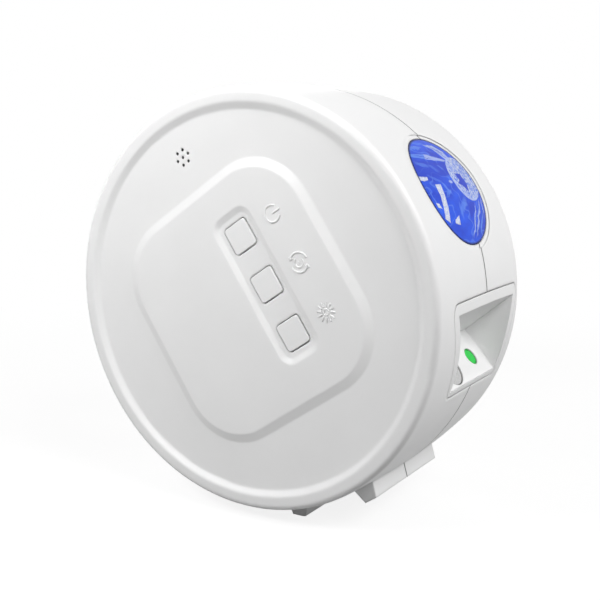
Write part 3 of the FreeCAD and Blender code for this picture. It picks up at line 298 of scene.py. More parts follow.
def close_tree(tree, geometry, out, material):
    """End a tree: make its instances real, set their material and hand them out."""
    real = tree.nodes.new("GeometryNodeRealizeInstances")
    paint = tree.nodes.new("GeometryNodeSetMaterial")
    paint.inputs["Material"].default_value = material
    tree.links.new(geometry, real.inputs["Geometry"])
    tree.links.new(real.outputs["Geometry"], paint.inputs["Geometry"])
    tree.links.new(paint.outputs["Geometry"], out.inputs["Geometry"])


def arc_tree(material):
    """One ridge along an arc about the origin."""
    tree, inputs, out = tree_with("ridge_arc", "Radius", "Start", "Sweep", "Thickness")
    arc = tree.nodes.new("GeometryNodeCurveArc")
    arc.inputs["Resolution"].default_value = ARC_STEPS
    for socket, size in (("Radius", "Radius"), ("Start Angle", "Start"), ("Sweep Angle", "Sweep")):
        tree.links.new(inputs.outputs[size], arc.inputs[socket])
    close_tree(tree, ridge_along(tree, arc.outputs["Curve"], inputs), out, material)
    return tree


def ray_tree(material):
    """Straight ridges in a ring, each from an inner to an outer radius."""
    tree, inputs, out = tree_with("ridge_rays", "Count", "Inner", "Outer", "Turn", "Thickness")
    line = tree.nodes.new("GeometryNodeCurvePrimitiveLine")
    for end, size in (("Start", "Inner"), ("End", "Outer")):
        place = tree.nodes.new("ShaderNodeCombineXYZ")
        tree.links.new(inputs.outputs[size], place.inputs["X"])
        tree.links.new(place.outputs[0], line.inputs[end])
    points = tree.nodes.new("GeometryNodePoints")
    tree.links.new(inputs.outputs["Count"], points.inputs["Count"])
    index = tree.nodes.new("GeometryNodeInputIndex").outputs[0]
    step = calc(tree, "DIVIDE", CIRCLE, inputs.outputs["Count"])
    about = tree.nodes.new("ShaderNodeCombineXYZ")
    turn = calc(tree, "MULTIPLY_ADD", index, step, inputs.outputs["Turn"])
    tree.links.new(turn, about.inputs["Z"])
    spread = tree.nodes.new("GeometryNodeInstanceOnPoints")
    ray = ridge_along(tree, line.outputs["Curve"], inputs)
    for socket, source in (("Points", points.outputs[0]), ("Instance", ray),
                           ("Rotation", about.outputs[0])):
        tree.links.new(source, spread.inputs[socket])
    close_tree(tree, spread.outputs["Instances"], out, material)
    return tree


def grown(tree, **sizes):
    """The plain mesh that a geometry tree makes with these sizes."""
    holder = bpy.data.objects.new("grown", bpy.data.meshes.new("grown"))
    bpy.context.scene.collection.objects.link(holder)
    modifier = holder.modifiers.new("grow", "NODES")
    modifier.node_group = tree
    for item in tree.interface.items_tree:
        if item.in_out == "INPUT":
            modifier[item.identifier] = sizes[item.name]
    bpy.context.view_layer.update()
    depsgraph = bpy.context.evaluated_depsgraph_get()
    mesh = bpy.data.meshes.new_from_object(holder.evaluated_get(depsgraph))
    bpy.data.objects.remove(holder)
    return mesh


def one_piece(name, meshes, place, material, body):
    """Join meshes drawn in millimetres, put them in place, and let the piece ride on a body."""
    joined = bmesh.new()
    for mesh in meshes:
        joined.from_mesh(mesh)
        bpy.data.meshes.remove(mesh)
    bmesh.ops.remove_doubles(joined, verts=joined.verts, dist=WELD)
    bmesh.ops.transform(joined, matrix=place, verts=joined.verts)
    bmesh.ops.recalc_face_normals(joined, faces=joined.faces)
    mesh = bpy.data.meshes.new(name)
    joined.to_mesh(mesh)
    joined.free()
    for face in mesh.polygons:
        face.use_smooth = True
        face.material_index = 0
    mesh.materials.append(material)
    piece = bpy.data.objects.new(name, mesh)
    bpy.context.scene.collection.objects.link(piece)
    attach(piece, body)


def symbol(name, up, ridges):
    """Set ridges on the plateau: their right looks down the face, and their top to the lens."""
    out = aimed(1, 0, 0) - aimed(0, 0, 0)
    side = aimed(0, 0, -1) - aimed(0, 0, 0)
    toward = Vector((0, -1, 0)) * MM * RIDGE_HEIGHT / RIDGE
    place = Matrix((side, out, toward)).transposed().to_4x4()
    place.translation = aimed(SYMBOL_OUT, SYMBOL_FACE, up)
    one_piece(name, ridges, place, symbol_white, "housing")


symbol_white = moulded("symbol_white_abs", WHITE_ABS, rough=0.38)
arcs, rays = arc_tree(symbol_white), ray_tree(symbol_white)

symbol("power_symbol", POWER_UP, [
    grown(arcs, Radius=POWER_RADIUS, Start=QUARTER + POWER_GAP, Sweep=CIRCLE - 2 * POWER_GAP,
          Thickness=RIDGE),
    grown(rays, Count=1, Inner=POWER_BAR[0], Outer=POWER_BAR[1], Turn=QUARTER, Thickness=RIDGE)])

mode_ridges = []
for half_turn in (0, math.pi):
    start = half_turn + ARROW_START
    end = start + ARROW_SWEEP
    mode_ridges.append(grown(arcs, Radius=ARROW_RADIUS, Start=start, Sweep=ARROW_SWEEP,
                             Thickness=RIDGE))
    for lean in (-BARB_LEAN, BARB_LEAN):
        barb = grown(rays, Count=1, Inner=0.0, Outer=BARB_LENGTH, Turn=end - QUARTER + lean,
                     Thickness=RIDGE)
        tip = Vector((math.cos(end), math.sin(end), 0)) * ARROW_RADIUS
        barb.transform(Matrix.Translation(tip))
        mode_ridges.append(barb)
mode_ridges.append(grown(arcs, Radius=HOOK_RADIUS, Start=HOOK_START, Sweep=HOOK_SWEEP,
                         Thickness=HOOK_RIDGE))
mode_ridges.append(grown(arcs, Radius=DOT_RADIUS, Start=0.0, Sweep=CIRCLE, Thickness=FINE_RIDGE))
symbol("mode_symbol", MODE_UP, mode_ridges)

sun_ridges = [
    grown(rays, Count=SUN_RAYS, Inner=SUN_INNER, Outer=SUN_OUTER, Turn=QUARTER,
          Thickness=RAY_RIDGE),
    grown(arcs, Radius=SUN_RING, Start=0.0, Sweep=CIRCLE, Thickness=FINE_RIDGE)]
for ridge in sun_ridges:
    ridge.transform(Matrix.Translation((0, 0, SUN_LIFT)))
symbol("dimmer_symbol", DIMMER_UP, sun_ridges)

# Key board
# A green circuit board behind the face, screwed to four posts. It carries the switches under the
# keys and, in its rubber seal, the microphone with black felt behind the seven holes.
FELT_DEPTH = 0.15
FELT_FADE = 0.05
FELT_DARK, FELT_LIGHT = (0.012, 0.012, 0.012), (0.04, 0.04, 0.04)
FELT_ROUGH = 0.9
CAN_METAL = (0.75, 0.75, 0.76)
CAN_ROUGH = 0.3


def solder_mask():
    """Glossy green lacquer with darker green tracks under it."""
    material, tree, shader, where = finish_of("solder_mask_green", Coat_Weight=0.4)
    tracks = grain(tree, where, size=1.6, detail=2, stretch=(1, 1, 0.18))
    green = shade(tree, tracks, dark=(0.03, 0.2, 0.09), light=(0.06, 0.32, 0.15))
    tree.links.new(green, shader.inputs["Base Color"])
    tree.links.new(between(tree, tracks, low=0.3, high=0.42), shader.inputs["Roughness"])
    relief(tree, shader, tracks, height=0.03)
    return material


def felted_can():
    """A bare metal can with black felt on its front end."""
    material, tree, shader, where = finish_of("microphone_can")
    felt_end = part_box("microphone")[0][1] / MM + FELT_DEPTH
    back = along(tree, where, (0, 1, 0))
    bare = rise(tree, back, felt_end - FELT_FADE, felt_end + FELT_FADE)
    fuzz = grain(tree, where, size=0.3)
    felt = shade(tree, fuzz, FELT_DARK, FELT_LIGHT)
    tree.links.new(blend_of(tree, bare, felt, CAN_METAL), shader.inputs["Base Color"])
    tree.links.new(bare, shader.inputs["Metallic"])
    tree.links.new(blend_of(tree, bare, FELT_ROUGH, CAN_ROUGH), shader.inputs["Roughness"])
    relief(tree, shader, fuzz, height=0.03)
    return material


board_green = solder_mask()
dress(board_green, "button_board")
dress(zinc, "board_screws")
black_plastic = moulded("black_moulding", (0.028, 0.028, 0.032), rough=0.5, texture=0.5,
                        height=0.01)
dress(black_plastic, "tact_switches")
seal_rubber = moulded("black_rubber", (0.022, 0.022, 0.022), rough=0.75, texture=0.9, height=0.02)
dress(seal_rubber, "microphone_seal")
dress(felted_can(), "microphone")

# Main board
# The green control board, screwed to the rear shell's posts. It carries a black chip, two
# capacitors in drawn aluminium cans and the plated shell of the power inlet.
dress(board_green, "main_board")
dress(zinc, "main_board_screws", "usb_socket")
dress(black_plastic, "control_chip")
aluminium = metal("aluminium", (0.8, 0.8, 0.81), rough=0.3, cell=0.5, stretch=(1, 0.06, 1))
dress(aluminium, "capacitors")

# Optics
# A black moulded plate trapped between the shells holds the lamp: four yellow-coated emitters on
# an aluminium board and heat sink, a metallised reflector and a clear condenser lens.
ACRYLIC_IOR = 1.49
CLEAR_DULL = 0.03


def phosphor():
    """Grainy yellow coating under clear resin."""
    material, tree, shader, where = finish_of("emitter_phosphor", Coat_Weight=0.6)
    grains = grain(tree, where, size=0.2)
    yellow = shade(tree, grains, dark=(0.82, 0.62, 0.12), light=(0.95, 0.8, 0.3))
    tree.links.new(yellow, shader.inputs["Base Color"])
    tree.links.new(between(tree, grains, low=0.35, high=0.55), shader.inputs["Roughness"])
    relief(tree, shader, grains, height=0.02)
    return material


def clear(name, colour, rough, wave, height):
    """Clear moulded plastic with a slight waviness in its surface."""
    material, tree, shader, where = finish_of(name, IOR=ACRYLIC_IOR, Transmission_Weight=1.0)
    shader.inputs["Base Color"].default_value = (*colour, 1)
    swell = grain(tree, where, wave, detail=2)
    tree.links.new(between(tree, swell, rough, rough + CLEAR_DULL), shader.inputs["Roughness"])
    relief(tree, shader, swell, height)
    return material


dress(black_plastic, "optics_frame")
dress(aluminium, "heat_sink", "led_board")
dress(phosphor(), "led_emitters")
dress(metal("vacuum_metal", (0.92, 0.92, 0.94), rough=0.12, cell=1.2, height=0.001), "reflector")
dress(clear("clear_optic", (0.96, 0.97, 0.98), rough=0.02, wave=6, height=0.002),
      "condenser_lens")

# Ripple and grating drives
# Each disc is clear and toothed, turns freely on a fixed steel axle, and is driven at its rim by
# a white nylon pinion on a small motor's shaft.
dress(clear("rippled_disc", (0.9, 0.94, 1.0), rough=0.03, wave=2.2, height=0.5), "ripple_disc")
dress(clear("grating_film", (0.93, 0.95, 0.97), rough=0.02, wave=0.12, height=0.02),
      "grating_disc")
dress(metal("ground_steel", (0.66, 0.66, 0.67), rough=0.25, cell=0.4, stretch=(0.1, 1, 0.1)),
      "ripple_axle", "grating_axle", "ripple_motor", "grating_motor")
dress(moulded("white_nylon", (0.84, 0.84, 0.81), rough=0.48, texture=0.4), "ripple_pinion",
      "grating_pinion")

# Nebula lens
# A blue acrylic window, flush with its border in the barrel and held behind it by a flange. It is
# moulded with streaks, clear facets and a frosted disc that break the light into a nebula; its
# colour also holds painted highlights for the glints and the disc's pale border, and painted shade
# at its rim.
LENS_Y, LENS_Z = -2.9, -1.0
LENS_EDGE = 20.5
RIM_SHADE_FADE = (0.75, 0.15)
LENS_SMOOTH, LENS_ROUGH = 0.03, 0.12
LENS_RELIEF = 0.25
DRIFT_SCALE = 0.3
LOOSE, CRISP = 2.4, 0.7
CREASE = 0.022
# The navy is painted shade at the lens's rim, and the glint and sparkle colours are painted
# highlights.
NAVY_PAINTED_SHADE, DEEP, BASE = (0.004, 0.012, 0.13), (0.003, 0.045, 0.66), (0.01, 0.12, 1.0)
LIGHT, PALE, GLINT = (0.12, 0.3, 1.0), (0.46, 0.58, 1.0), (0.96, 0.97, 1.0)
FROST_DARK, FROST_LIGHT = (0.02, 0.15, 0.9), (0.8, 0.87, 1.0)
SPARKLE_DARK = (0.5, 0.6, 0.95)

# Places are in millimetres from the lens's middle, back along the drum and up round it.
# A facet's corners, the softness of its edge, its colour and how strong it is.
FACETS = (
    (((-17.5, 12.2), (7.0, 9.2), (3.2, 4.2), (-19.2, 5.4)), 1.6, DEEP, 0.75),
    (((11, 14), (18, 7.5), (20.5, -1), (17, -3.5), (14.5, 9)), 1.2, LIGHT, 0.75),
    (((0.3, 17.8), (6.6, 17.2), (11.0, 14.2), (4.3, 15.6)), 0.5, PALE, 0.9),
    (((4.3, 15.7), (11.0, 14.2), (12.0, 10.5), (8.7, 10.3)), 0.5, PALE, 0.95),
    (((-15.0, 14.4), (-5.1, 13.8), (-6.3, 11.8), (-15.1, 13.1)), 0.6, LIGHT, 0.9),
    (((-5.2, 13.8), (7.9, 10.4), (5.5, 9.9), (-6.4, 11.8)), 0.5, PALE, 0.85),
    (((-2.1, 15.5), (4.6, 13.8), (6.8, 11.0), (0.2, 12.7)), 0.6, DEEP, 0.9),
    (((7.5, -6.2), (12.1, -6.6), (7.5, -10.0), (3.0, -12.6), (3.6, -9.7)), 0.8, DEEP, 0.85),
)
# A streak's two ends, its width, its colour and how strong it is.
STREAKS = (
    ((-13, 16.6), (-1.5, 16.9), 1.6, LIGHT, 0.7), ((-9, 9.8), (-2, 6.2), 2.4, LIGHT, 0.35),
    ((-6.8, 2.9), (-2.8, -3.0), 1.7, LIGHT, 0.7), ((-8.6, -2.8), (-1.6, -0.6), 1.6, LIGHT, 0.6),
    ((-14, 5.6), (-4.6, 2.2), 1.8, LIGHT, 0.4), ((6.2, -3.8), (-3.9, -10.8), 3.2, LIGHT, 0.6),
    ((12.6, -6.3), (-0.9, -19.2), 1.0, PALE, 0.9), ((17.0, -5.6), (1.4, -19.3), 1.3, PALE, 0.85),
    ((15.4, -10.0), (6, -18), 1.3, LIGHT, 0.8), ((-18.8, 3.4), (-16.4, -9.6), 0.9, LIGHT, 0.6),
    ((19.6, -3.8), (14.0, -14.0), 1.1, PALE, 0.7), ((-16.5, 11.2), (-7.5, 8.5), 2.2, LIGHT, 0.5),
    ((-1.8, 9.0), (1.6, 6.6), 1.3, LIGHT, 0.5), ((-0.6, -4.6), (-3.2, -12.6), 2.3, LIGHT, 0.45),
    ((2.6, 17.3), (11.2, 12.9), 0.55, DEEP, 0.85), ((5.2, 15.5), (11.0, 11.0), 0.5, DEEP, 0.75),
    ((-13.6, 13.7), (-0.6, 11.7), 0.5, DEEP, 0.7),
)
# The frosted disc and the part of it inside its paler border, which is a painted highlight, each as
# the ends of an oval.
DISC = ((3.0, 2.7), (21.8, 2.7), 18.0)
DISC_INSIDE = ((4.1, 2.9), (22.6, 2.9), 16.6)
# The corners of the clear points in the disc's middle, and of the bright glints beside it, which
# are painted highlights.
CLEAR_POINTS = (
    ((7.4, 5.0), (11.7, 4.5), (12.8, 0.2), (8.6, 1.2)),
    ((8.6, 2.0), (12.8, 0.4), (11.2, -2.6), (8.6, -0.2)),
    ((6.0, 0.9), (8.7, 2.3), (9.4, -0.4)),
)
GLINTS = (
    ((-20.6, 5.7), (-14.1, 4.9), (-14.5, 3.8), (-17.7, 3.5), (-20.6, 4.4)),
    ((-11.8, 1.8), (-7.8, 1.6), (-8.9, -2.3), (-12.2, -2.0)),
    ((-12.2, -2.0), (-8.9, -2.3), (-10.7, -6.7), (-13.9, -6.4)),
    ((-13.9, -6.4), (-10.7, -6.7), (-13.6, -12.0), (-16.1, -10.4)),
    ((-17.9, -4.7), (-16.0, -4.9), (-15.3, -6.8), (-17.6, -6.1)),
    ((-9.5, -11.3), (-5.4, -10.2), (-7.0, -13.3), (-10.0, -12.5)),
)
SMALL_GLINT = ((-0.8, 2.1), (2.4, 1.6), 1.6)


def across_lens(tree, where, waver=0.0):
    """The place on the lens as a vector whose last part is 1, wavering by some millimetres."""
    if waver:
        drift = tree.nodes.new("ShaderNodeTexNoise")
        drift.inputs["Scale"].default_value = DRIFT_SCALE
        tree.links.new(where, drift.inputs["Vector"])
        parts = tree.nodes.new("ShaderNodeSeparateColor")
        tree.links.new(drift.outputs["Color"], parts.inputs[0])
    place = tree.nodes.new("ShaderNodeCombineXYZ")
    up = (-math.sin(AIM), 0, math.cos(AIM))
    middles = (LENS_Y, LENS_Z + AXIS_HEIGHT * math.cos(AIM))
    for i, (direction, middle) in enumerate(zip(((0, 1, 0), up), middles)):
        value = calc(tree, "SUBTRACT", along(tree, where, direction), middle)
        if waver:
            shift = calc(tree, "MULTIPLY", calc(tree, "SUBTRACT", parts.outputs[i], 0.5), waver)
            value = calc(tree, "ADD", value, shift)
        tree.links.new(value, place.inputs[i])
    place.inputs[2].default_value = 1.0
    return place.outputs[0]


def streak(tree, place, start, end, width, soft):
    """A mask for a long oval from a start to an end, fading over a share of its width."""
    middle = ((start[0] + end[0]) / 2, (start[1] + end[1]) / 2)
    half = math.hypot(end[0] - start[0], end[1] - start[1]) / 2
    cosine, sine = (end[0] - middle[0]) / half, (end[1] - middle[1]) / half
    squares = []
    for (a, b), size in (((cosine, sine), half), ((-sine, cosine), width / 2)):
        line = (a / size, b / size, -(middle[0] * a + middle[1] * b) / size)
        value = along(tree, place, line)
        squares.append(calc(tree, "MULTIPLY", value, value))
    inside = calc(tree, "SUBTRACT", 1.0, calc(tree, "ADD", *squares))
    return rise(tree, inside, 0.0, soft, smooth=True)


def facet(tree, place, corners, soft):
    """A mask for a convex facet with these corners, over a soft edge in millimetres."""
    middle = [sum(corner[i] for corner in corners) / len(corners) for i in (0, 1)]
    inside = None
    for (a, b), (c, d) in zip(corners, corners[1:] + corners[:1]):
        length = math.hypot(c - a, d - b)
        normal = ((b - d) / length, (c - a) / length)
        offset = a * normal[0] + b * normal[1]
        way = 1 if middle[0] * normal[0] + middle[1] * normal[1] > offset else -1
        depth = along(tree, place, (way * normal[0], way * normal[1], -way * offset))
        inside = depth if inside is None else calc(tree, "MINIMUM", inside, depth)
    return rise(tree, inside, -soft / 2, soft / 2, smooth=True)


def painted(tree, colour, mask, tone, strength=1.0):
    """A colour with a tone laid over it where a mask is 1."""
    return blend_of(tree, calc(tree, "MULTIPLY", mask, strength), colour, tone)


def folded_blue(tree, where, crisp):
    """Cloudy blue with thin creases, facets and streaks."""
    loose = across_lens(tree, where, LOOSE)
    colour = shade(tree, grain(tree, where, size=5, stretch=(1, 0.4, 1)), DEEP, BASE)
    folds = grain(tree, where, size=6.5, detail=1, stretch=(1, 0.55, 1))
    off_crease = calc(tree, "ABSOLUTE", calc(tree, "SUBTRACT", folds, 0.5))
    crease = calc(tree, "SUBTRACT", 1.0, rise(tree, off_crease, 0.0, CREASE))
    colour = painted(tree, colour, crease, LIGHT, strength=0.55)
    for corners, soft, tone, strength in FACETS:
        colour = painted(tree, colour, facet(tree, crisp, corners, soft), tone, strength)
    for start, end, width, tone, strength in STREAKS:
        mask = streak(tree, loose, start, end, width, soft=0.9)
        colour = painted(tree, colour, mask, tone, strength)
    return colour


def lens_colour(tree, where):
    """The folded blue with the frosted disc and its clear points, the glints and the disc's pale
    border as painted highlights, and the dark rim as painted shade.
    """
    steady, crisp = across_lens(tree, where), across_lens(tree, where, CRISP)
    colour = folded_blue(tree, where, crisp)
    frosted = shade(tree, grain(tree, where, size=1.0, detail=5), FROST_DARK, FROST_LIGHT)
    disc = streak(tree, steady, *DISC, soft=0.05)
    # Painted highlight: a pale border along the frosted disc's edge.
    border = calc(tree, "SUBTRACT", disc, streak(tree, steady, *DISC_INSIDE, soft=0.1))
    colour = blend_of(tree, disc, colour, frosted)
    colour = painted(tree, colour, border, PALE, strength=0.55)
    for corners in CLEAR_POINTS:
        colour = painted(tree, colour, facet(tree, crisp, corners, soft=0.4), DEEP)
    # Painted highlights: the bright glints and a small pale one laid into the lens's colour.
    sparkle = shade(tree, grain(tree, where, size=0.55, detail=1), SPARKLE_DARK, GLINT)
    for corners in GLINTS:
        colour = painted(tree, colour, facet(tree, crisp, corners, soft=0.35), sparkle)
    small = streak(tree, crisp, *SMALL_GLINT, soft=0.8)
    colour = painted(tree, colour, small, PALE, strength=0.9)
    # Painted shade: the lens goes dark navy towards its rim.
    reach = vector_calc(tree, "LENGTH", steady)
    rim = rise(tree, reach, LENS_EDGE - RIM_SHADE_FADE[0], LENS_EDGE - RIM_SHADE_FADE[1], smooth=True)
    return painted(tree, colour, rim, NAVY_PAINTED_SHADE, strength=0.85)


def blue_acrylic():
    """Dyed acrylic, polished in its dark parts and duller and higher in its light ones."""
    material, tree, shader, where = finish_of("blue_acrylic", IOR=ACRYLIC_IOR,
                                              Transmission_Weight=0.15, Specular_IOR_Level=0.06)
    colour = lens_colour(tree, where)
    tree.links.new(colour, shader.inputs["Base Color"])
    tone = tree.nodes.new("ShaderNodeRGBToBW")
    tree.links.new(colour, tone.inputs[0])
    gloss = between(tree, tone.outputs[0], LENS_SMOOTH, LENS_ROUGH)
    tree.links.new(gloss, shader.inputs["Roughness"])
    relief(tree, shader, tone.outputs[0], LENS_RELIEF)
    return material


dress(blue_acrylic(), "nebula_lens")

# Nebula film
# A thin embossed plastic sheet, curved like the barrel and dyed deep blue, pressed against the
# lens's flange from behind. Its swells throw the lamp's light out in soft moving folds.
BARREL_RADIUS = 75.4
FILM_RADIUS = 21.5
FILM_THICK = 0.4
FILM_DEPTH = 5.2
FILM_RINGS = 50
FILM_SPOKES = 130
SWELL = 0.35
FOLD_SHARE = 0.6
SWIRL_WAVES, FOLD_WAVES = (0.11, 0.2), (0.16, 0.34)
SWIRL_SEED, FOLD_SEED = 3.7, 9.1
FILM_DARK = (0.07, 0.18, 0.85)


def film_height(u, v):
    """The film's relief in millimetres at a place across it."""
    swirl = noise.noise(Vector((u * SWIRL_WAVES[0], v * SWIRL_WAVES[1], SWIRL_SEED)))
    fold = noise.noise(Vector((u * FOLD_WAVES[0] + swirl, v * FOLD_WAVES[1], FOLD_SEED)))
    return SWELL * (swirl + FOLD_SHARE * fold)


def film_mesh():
    """Rings of points on the two faces of the film, joined round its edge."""
    film = bmesh.new()
    top = BARREL_RADIUS - FILM_DEPTH - SWELL
    edges = []
    for lift in (0.0, -FILM_THICK):
        rows = []
        for i in range(FILM_RINGS + 1):
            reach = FILM_RADIUS * i / FILM_RINGS
            row = []
            for j in range(FILM_SPOKES if i else 1):
                turn = CIRCLE * j / FILM_SPOKES
                u, v = reach * math.cos(turn), reach * math.sin(turn)
                radius = top + lift + film_height(u, v)
                z = v + LENS_Z
                row.append(film.verts.new((math.sqrt(radius ** 2 - z ** 2), u + LENS_Y, z)))
            rows.append(row)
        for inner, outer in zip(rows, rows[1:]):
            for j in range(FILM_SPOKES):
                k = (j + 1) % FILM_SPOKES
                if len(inner) == 1:
                    film.faces.new((inner[0], outer[j], outer[k]))
                else:
                    film.faces.new((inner[j], outer[j], outer[k], inner[k]))
        edges.append(rows[-1])
    for j in range(FILM_SPOKES):
        k = (j + 1) % FILM_SPOKES
        film.faces.new((edges[0][j], edges[1][j], edges[1][k], edges[0][k]))
    mesh = bpy.data.meshes.new("film")
    film.to_mesh(mesh)
    film.free()
    return mesh


def dyed_film():
    """Cloudy blue dye in a finely embossed sheet."""
    material, tree, shader, where = finish_of("dyed_film", Roughness=0.3)
    clouds = grain(tree, where, size=7, stretch=(1, 0.5, 1))
    tree.links.new(shade(tree, clouds, BASE, FILM_DARK), shader.inputs["Base Color"])
    relief(tree, shader, grain(tree, where, size=1.1), height=0.12)
    return material


film_turn = Matrix.Rotation(-AIM, 4, "Y") @ Matrix.Scale(MM, 4)
film_place = Matrix.Translation((0, 0, AXIS_HEIGHT * MM)) @ film_turn
one_piece("nebula_film", [film_mesh()], film_place, dyed_film(), "housing")

# Laser housing
# A white ABS moulding let into the barrel across the seam, kept in by a flange behind the shells.
# Its sloping panel holds two dyed windows: green over the laser and smoky over the receiver.
LASER_AIM = AIM + math.radians(7)
CORE_DARK = 0.84
RIM_SHADE_SHARE = 0.4
WALL_SHADE_FADE = (0.1, 0.8)


def off_axis(tree, where, node, direction, aside=0.0):
    """Millimetres from the line in a direction through a node's middle, or aside along the drum."""
    low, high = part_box(node)
    middle = Vector([(a + b) / 2 / MM for a, b in zip(low, high)]) + Vector((0, aside, 0))
    from_middle = vector_calc(tree, "SUBTRACT", where, middle)
    return vector_calc(tree, "LENGTH", vector_calc(tree, "CROSS_PRODUCT", from_middle, direction))


def dyed_window(name, node, radius, rim, core, edge, cell, aside=0.0):
    """Dyed plastic with painted shade, darker at its rim and, where it stands aside, at the wall
    behind it.
    """
    material, tree, shader, where = finish_of(name, Roughness=0.16, Specular_IOR_Level=0.3)
    beam = (math.cos(LASER_AIM), 0, math.sin(LASER_AIM))
    clouds = grain(tree, where, cell)
    colour = shade(tree, clouds, [c * CORE_DARK for c in core], core)
    if aside:
        # Painted shade of the recess wall on the side where the window stands aside.
        from_shaded_wall = off_axis(tree, where, node, beam, aside)
        wall = rise(tree, from_shaded_wall, radius - WALL_SHADE_FADE[0], radius + WALL_SHADE_FADE[1], smooth=True)
        colour = blend_of(tree, wall, colour, edge)
    from_beam = off_axis(tree, where, node, beam)
    border = rise(tree, from_beam, radius - rim, radius - rim * RIM_SHADE_SHARE)
    tree.links.new(blend_of(tree, border, colour, edge), shader.inputs["Base Color"])
    relief(tree, shader, clouds, height=0.02)
    return material


insert_white = moulded("insert_white_abs", WHITE_ABS, rough=0.4, soft_edge=0.6)
dress(insert_white, "laser_housing")
# Each window's edge colour is painted shade at its rim and recess wall.
dress(dyed_window("green_window", "laser_window", radius=3.3, rim=0.7, core=(0.02, 0.68, 0.08),
                  edge=(0.008, 0.24, 0.03), cell=2.5, aside=1.3), "laser_window")
dress(dyed_window("smoke_window", "ir_window", radius=7.0, rim=0.6, core=(0.56, 0.56, 0.56),
                  edge=(0.06, 0.06, 0.06), cell=0.7), "ir_window")

# Laser
# A turned brass barrel with the diode and its lens, clamped in the collar of a black moulded
# bracket. Two screws hold that to the sloping panel. The remote control's receiver is beside it.
dress(black_plastic, "laser_bracket", "ir_receiver")
dress(zinc, "bracket_screws")
dress(metal("turned_brass", (0.78, 0.6, 0.28), rough=0.28, cell=0.35, stretch=(0.2, 1, 0.2)),
      "laser_module")

# Floor, light and camera
# A white paper sweep under the drum, and soft round lamps: a small one close above the face, and
# broader ones to the right, left, front and back.
FLOOR_HALF = 6.0
PAPER_MATTE, PAPER_GLOW, PAPER_BOUNCE = 0.2, 0.84, 0.22
SHADOW_NEAR, SHADOW_FAR = 220.0, 420.0
AIR_LIGHT = 0.06
LAMP_TARGET = Vector((0, 0, 0.08))
CAMERA_PLACE = (0.2012, -0.3238, 0.1453)
CAMERA_LOOK = (-0.518, 0.836, -0.183)
SENSOR_WIDTH = 36
FOCAL_LENGTH = 61.44
NEAR_CLIP = 0.01

# A lamp's name, its place and width in metres and its power in watts.
LAMPS = (
    ("face_lamp", (-0.10, -0.28, 0.275), 0.12, 0.68),
    ("top_right_lamp", (0.45, -0.10, 0.50), 0.3, 0.95),
    ("high_right_lamp", (0.9, -0.3, 0.9), 0.7, 5.2),
    ("left_lamp", (-0.75, -0.6, 0.8), 0.6, 2.0),
    ("front_lamp", (0.1, -1.3, 0.5), 0.8, 1.2),
    ("rear_right_lamp", (1.1, 0.5, 0.6), 0.7, 5.2),
    ("rear_lamp", (-0.9, 0.95, 0.25), 0.8, 11.0),
)


def seen_directly(tree):
    """1 for rays from the camera, off glossy surfaces and through clear ones."""
    path = tree.nodes.new("ShaderNodeLightPath")
    total = path.outputs["Is Camera Ray"]
    for ray in ("Is Glossy Ray", "Is Transmission Ray"):
        total = calc(tree, "MAXIMUM", total, path.outputs[ray])
    return total


def either(tree, fac, first, second):
    """The first shader where a mask is 0, the second where it is 1."""
    mix = tree.nodes.new("ShaderNodeMixShader")
    for socket, source in zip(mix.inputs, (fac, first, second)):
        tree.links.new(source, socket)
    return mix.outputs[0]


def matte_of(tree, grey):
    """A plain matte grey surface."""
    node = tree.nodes.new("ShaderNodeBsdfDiffuse")
    node.inputs["Color"].default_value = (grey, grey, grey, 1)
    return node.outputs[0]


def glow_of(tree, strength):
    """A white surface that shows at a strength of its own."""
    node = tree.nodes.new("ShaderNodeEmission")
    node.inputs["Strength"].default_value = strength
    return node.outputs[0]


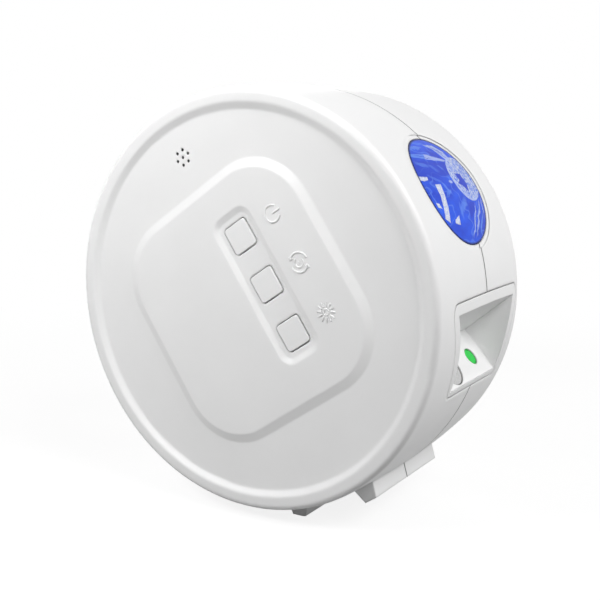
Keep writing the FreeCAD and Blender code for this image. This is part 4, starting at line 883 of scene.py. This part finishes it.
def white_paper():
    """Paper that is seen white and shadowed near the drum, and throws little light back on it."""
    material, tree, shader, where = finish_of("white_paper")
    out = shader.outputs[0].links[0].to_node
    tree.nodes.remove(shader)
    shadowed = tree.nodes.new("ShaderNodeAddShader")
    tree.links.new(matte_of(tree, PAPER_MATTE), shadowed.inputs[0])
    tree.links.new(glow_of(tree, PAPER_GLOW), shadowed.inputs[1])
    away = vector_calc(tree, "LENGTH", where)
    far = rise(tree, away, SHADOW_NEAR, SHADOW_FAR, smooth=True)
    seen = either(tree, far, shadowed.outputs[0], glow_of(tree, 1.0))
    bounce = matte_of(tree, PAPER_BOUNCE)
    tree.links.new(either(tree, seen_directly(tree), bounce, seen), out.inputs["Surface"])
    return material


def studio_air():
    """A world that is seen white and lights the drum faintly from all sides."""
    world = bpy.data.worlds.new("studio")
    world.use_nodes = True
    tree = world.node_tree
    air = tree.nodes["Background"]
    wall = tree.nodes.new("ShaderNodeBackground")
    for background, strength in ((air, AIR_LIGHT), (wall, 1.0)):
        background.inputs["Color"].default_value = (1, 1, 1, 1)
        background.inputs["Strength"].default_value = strength
    out = air.outputs[0].links[0].to_node
    seen = either(tree, seen_directly(tree), air.outputs[0], wall.outputs[0])
    tree.links.new(seen, out.inputs["Surface"])
    return world


floor_mesh = bpy.data.meshes.new("floor")
corners = [(-1, -1), (1, -1), (1, 1), (-1, 1)]
floor_mesh.from_pydata([(x * FLOOR_HALF, y * FLOOR_HALF, 0) for x, y in corners], [],
                       [(0, 1, 2, 3)])
floor_mesh.materials.append(white_paper())
floor = bpy.data.objects.new("floor", floor_mesh)
bpy.context.scene.collection.objects.link(floor)
bpy.context.scene.world = studio_air()

for name, place, width, power in LAMPS:
    light = bpy.data.lights.new(name, "AREA")
    light.shape = "DISK"
    light.size = width
    light.energy = power
    lamp = bpy.data.objects.new(name, light)
    bpy.context.scene.collection.objects.link(lamp)
    lamp.location = place
    lamp.rotation_mode = "QUATERNION"
    lamp.rotation_quaternion = (LAMP_TARGET - Vector(place)).to_track_quat("-Z", "Y")
    lamp.visible_camera = False

camera_data = bpy.data.cameras.new("camera")
camera_data.sensor_width = SENSOR_WIDTH
camera_data.lens = FOCAL_LENGTH
camera_data.clip_start = NEAR_CLIP
camera = bpy.data.objects.new("camera", camera_data)
bpy.context.scene.collection.objects.link(camera)
camera.location = CAMERA_PLACE
camera.rotation_mode = "QUATERNION"
camera.rotation_quaternion = Vector(CAMERA_LOOK).to_track_quat("-Z", "Y")
bpy.context.scene.camera = camera
bpy.context.scene.view_settings.view_transform = "Standard"
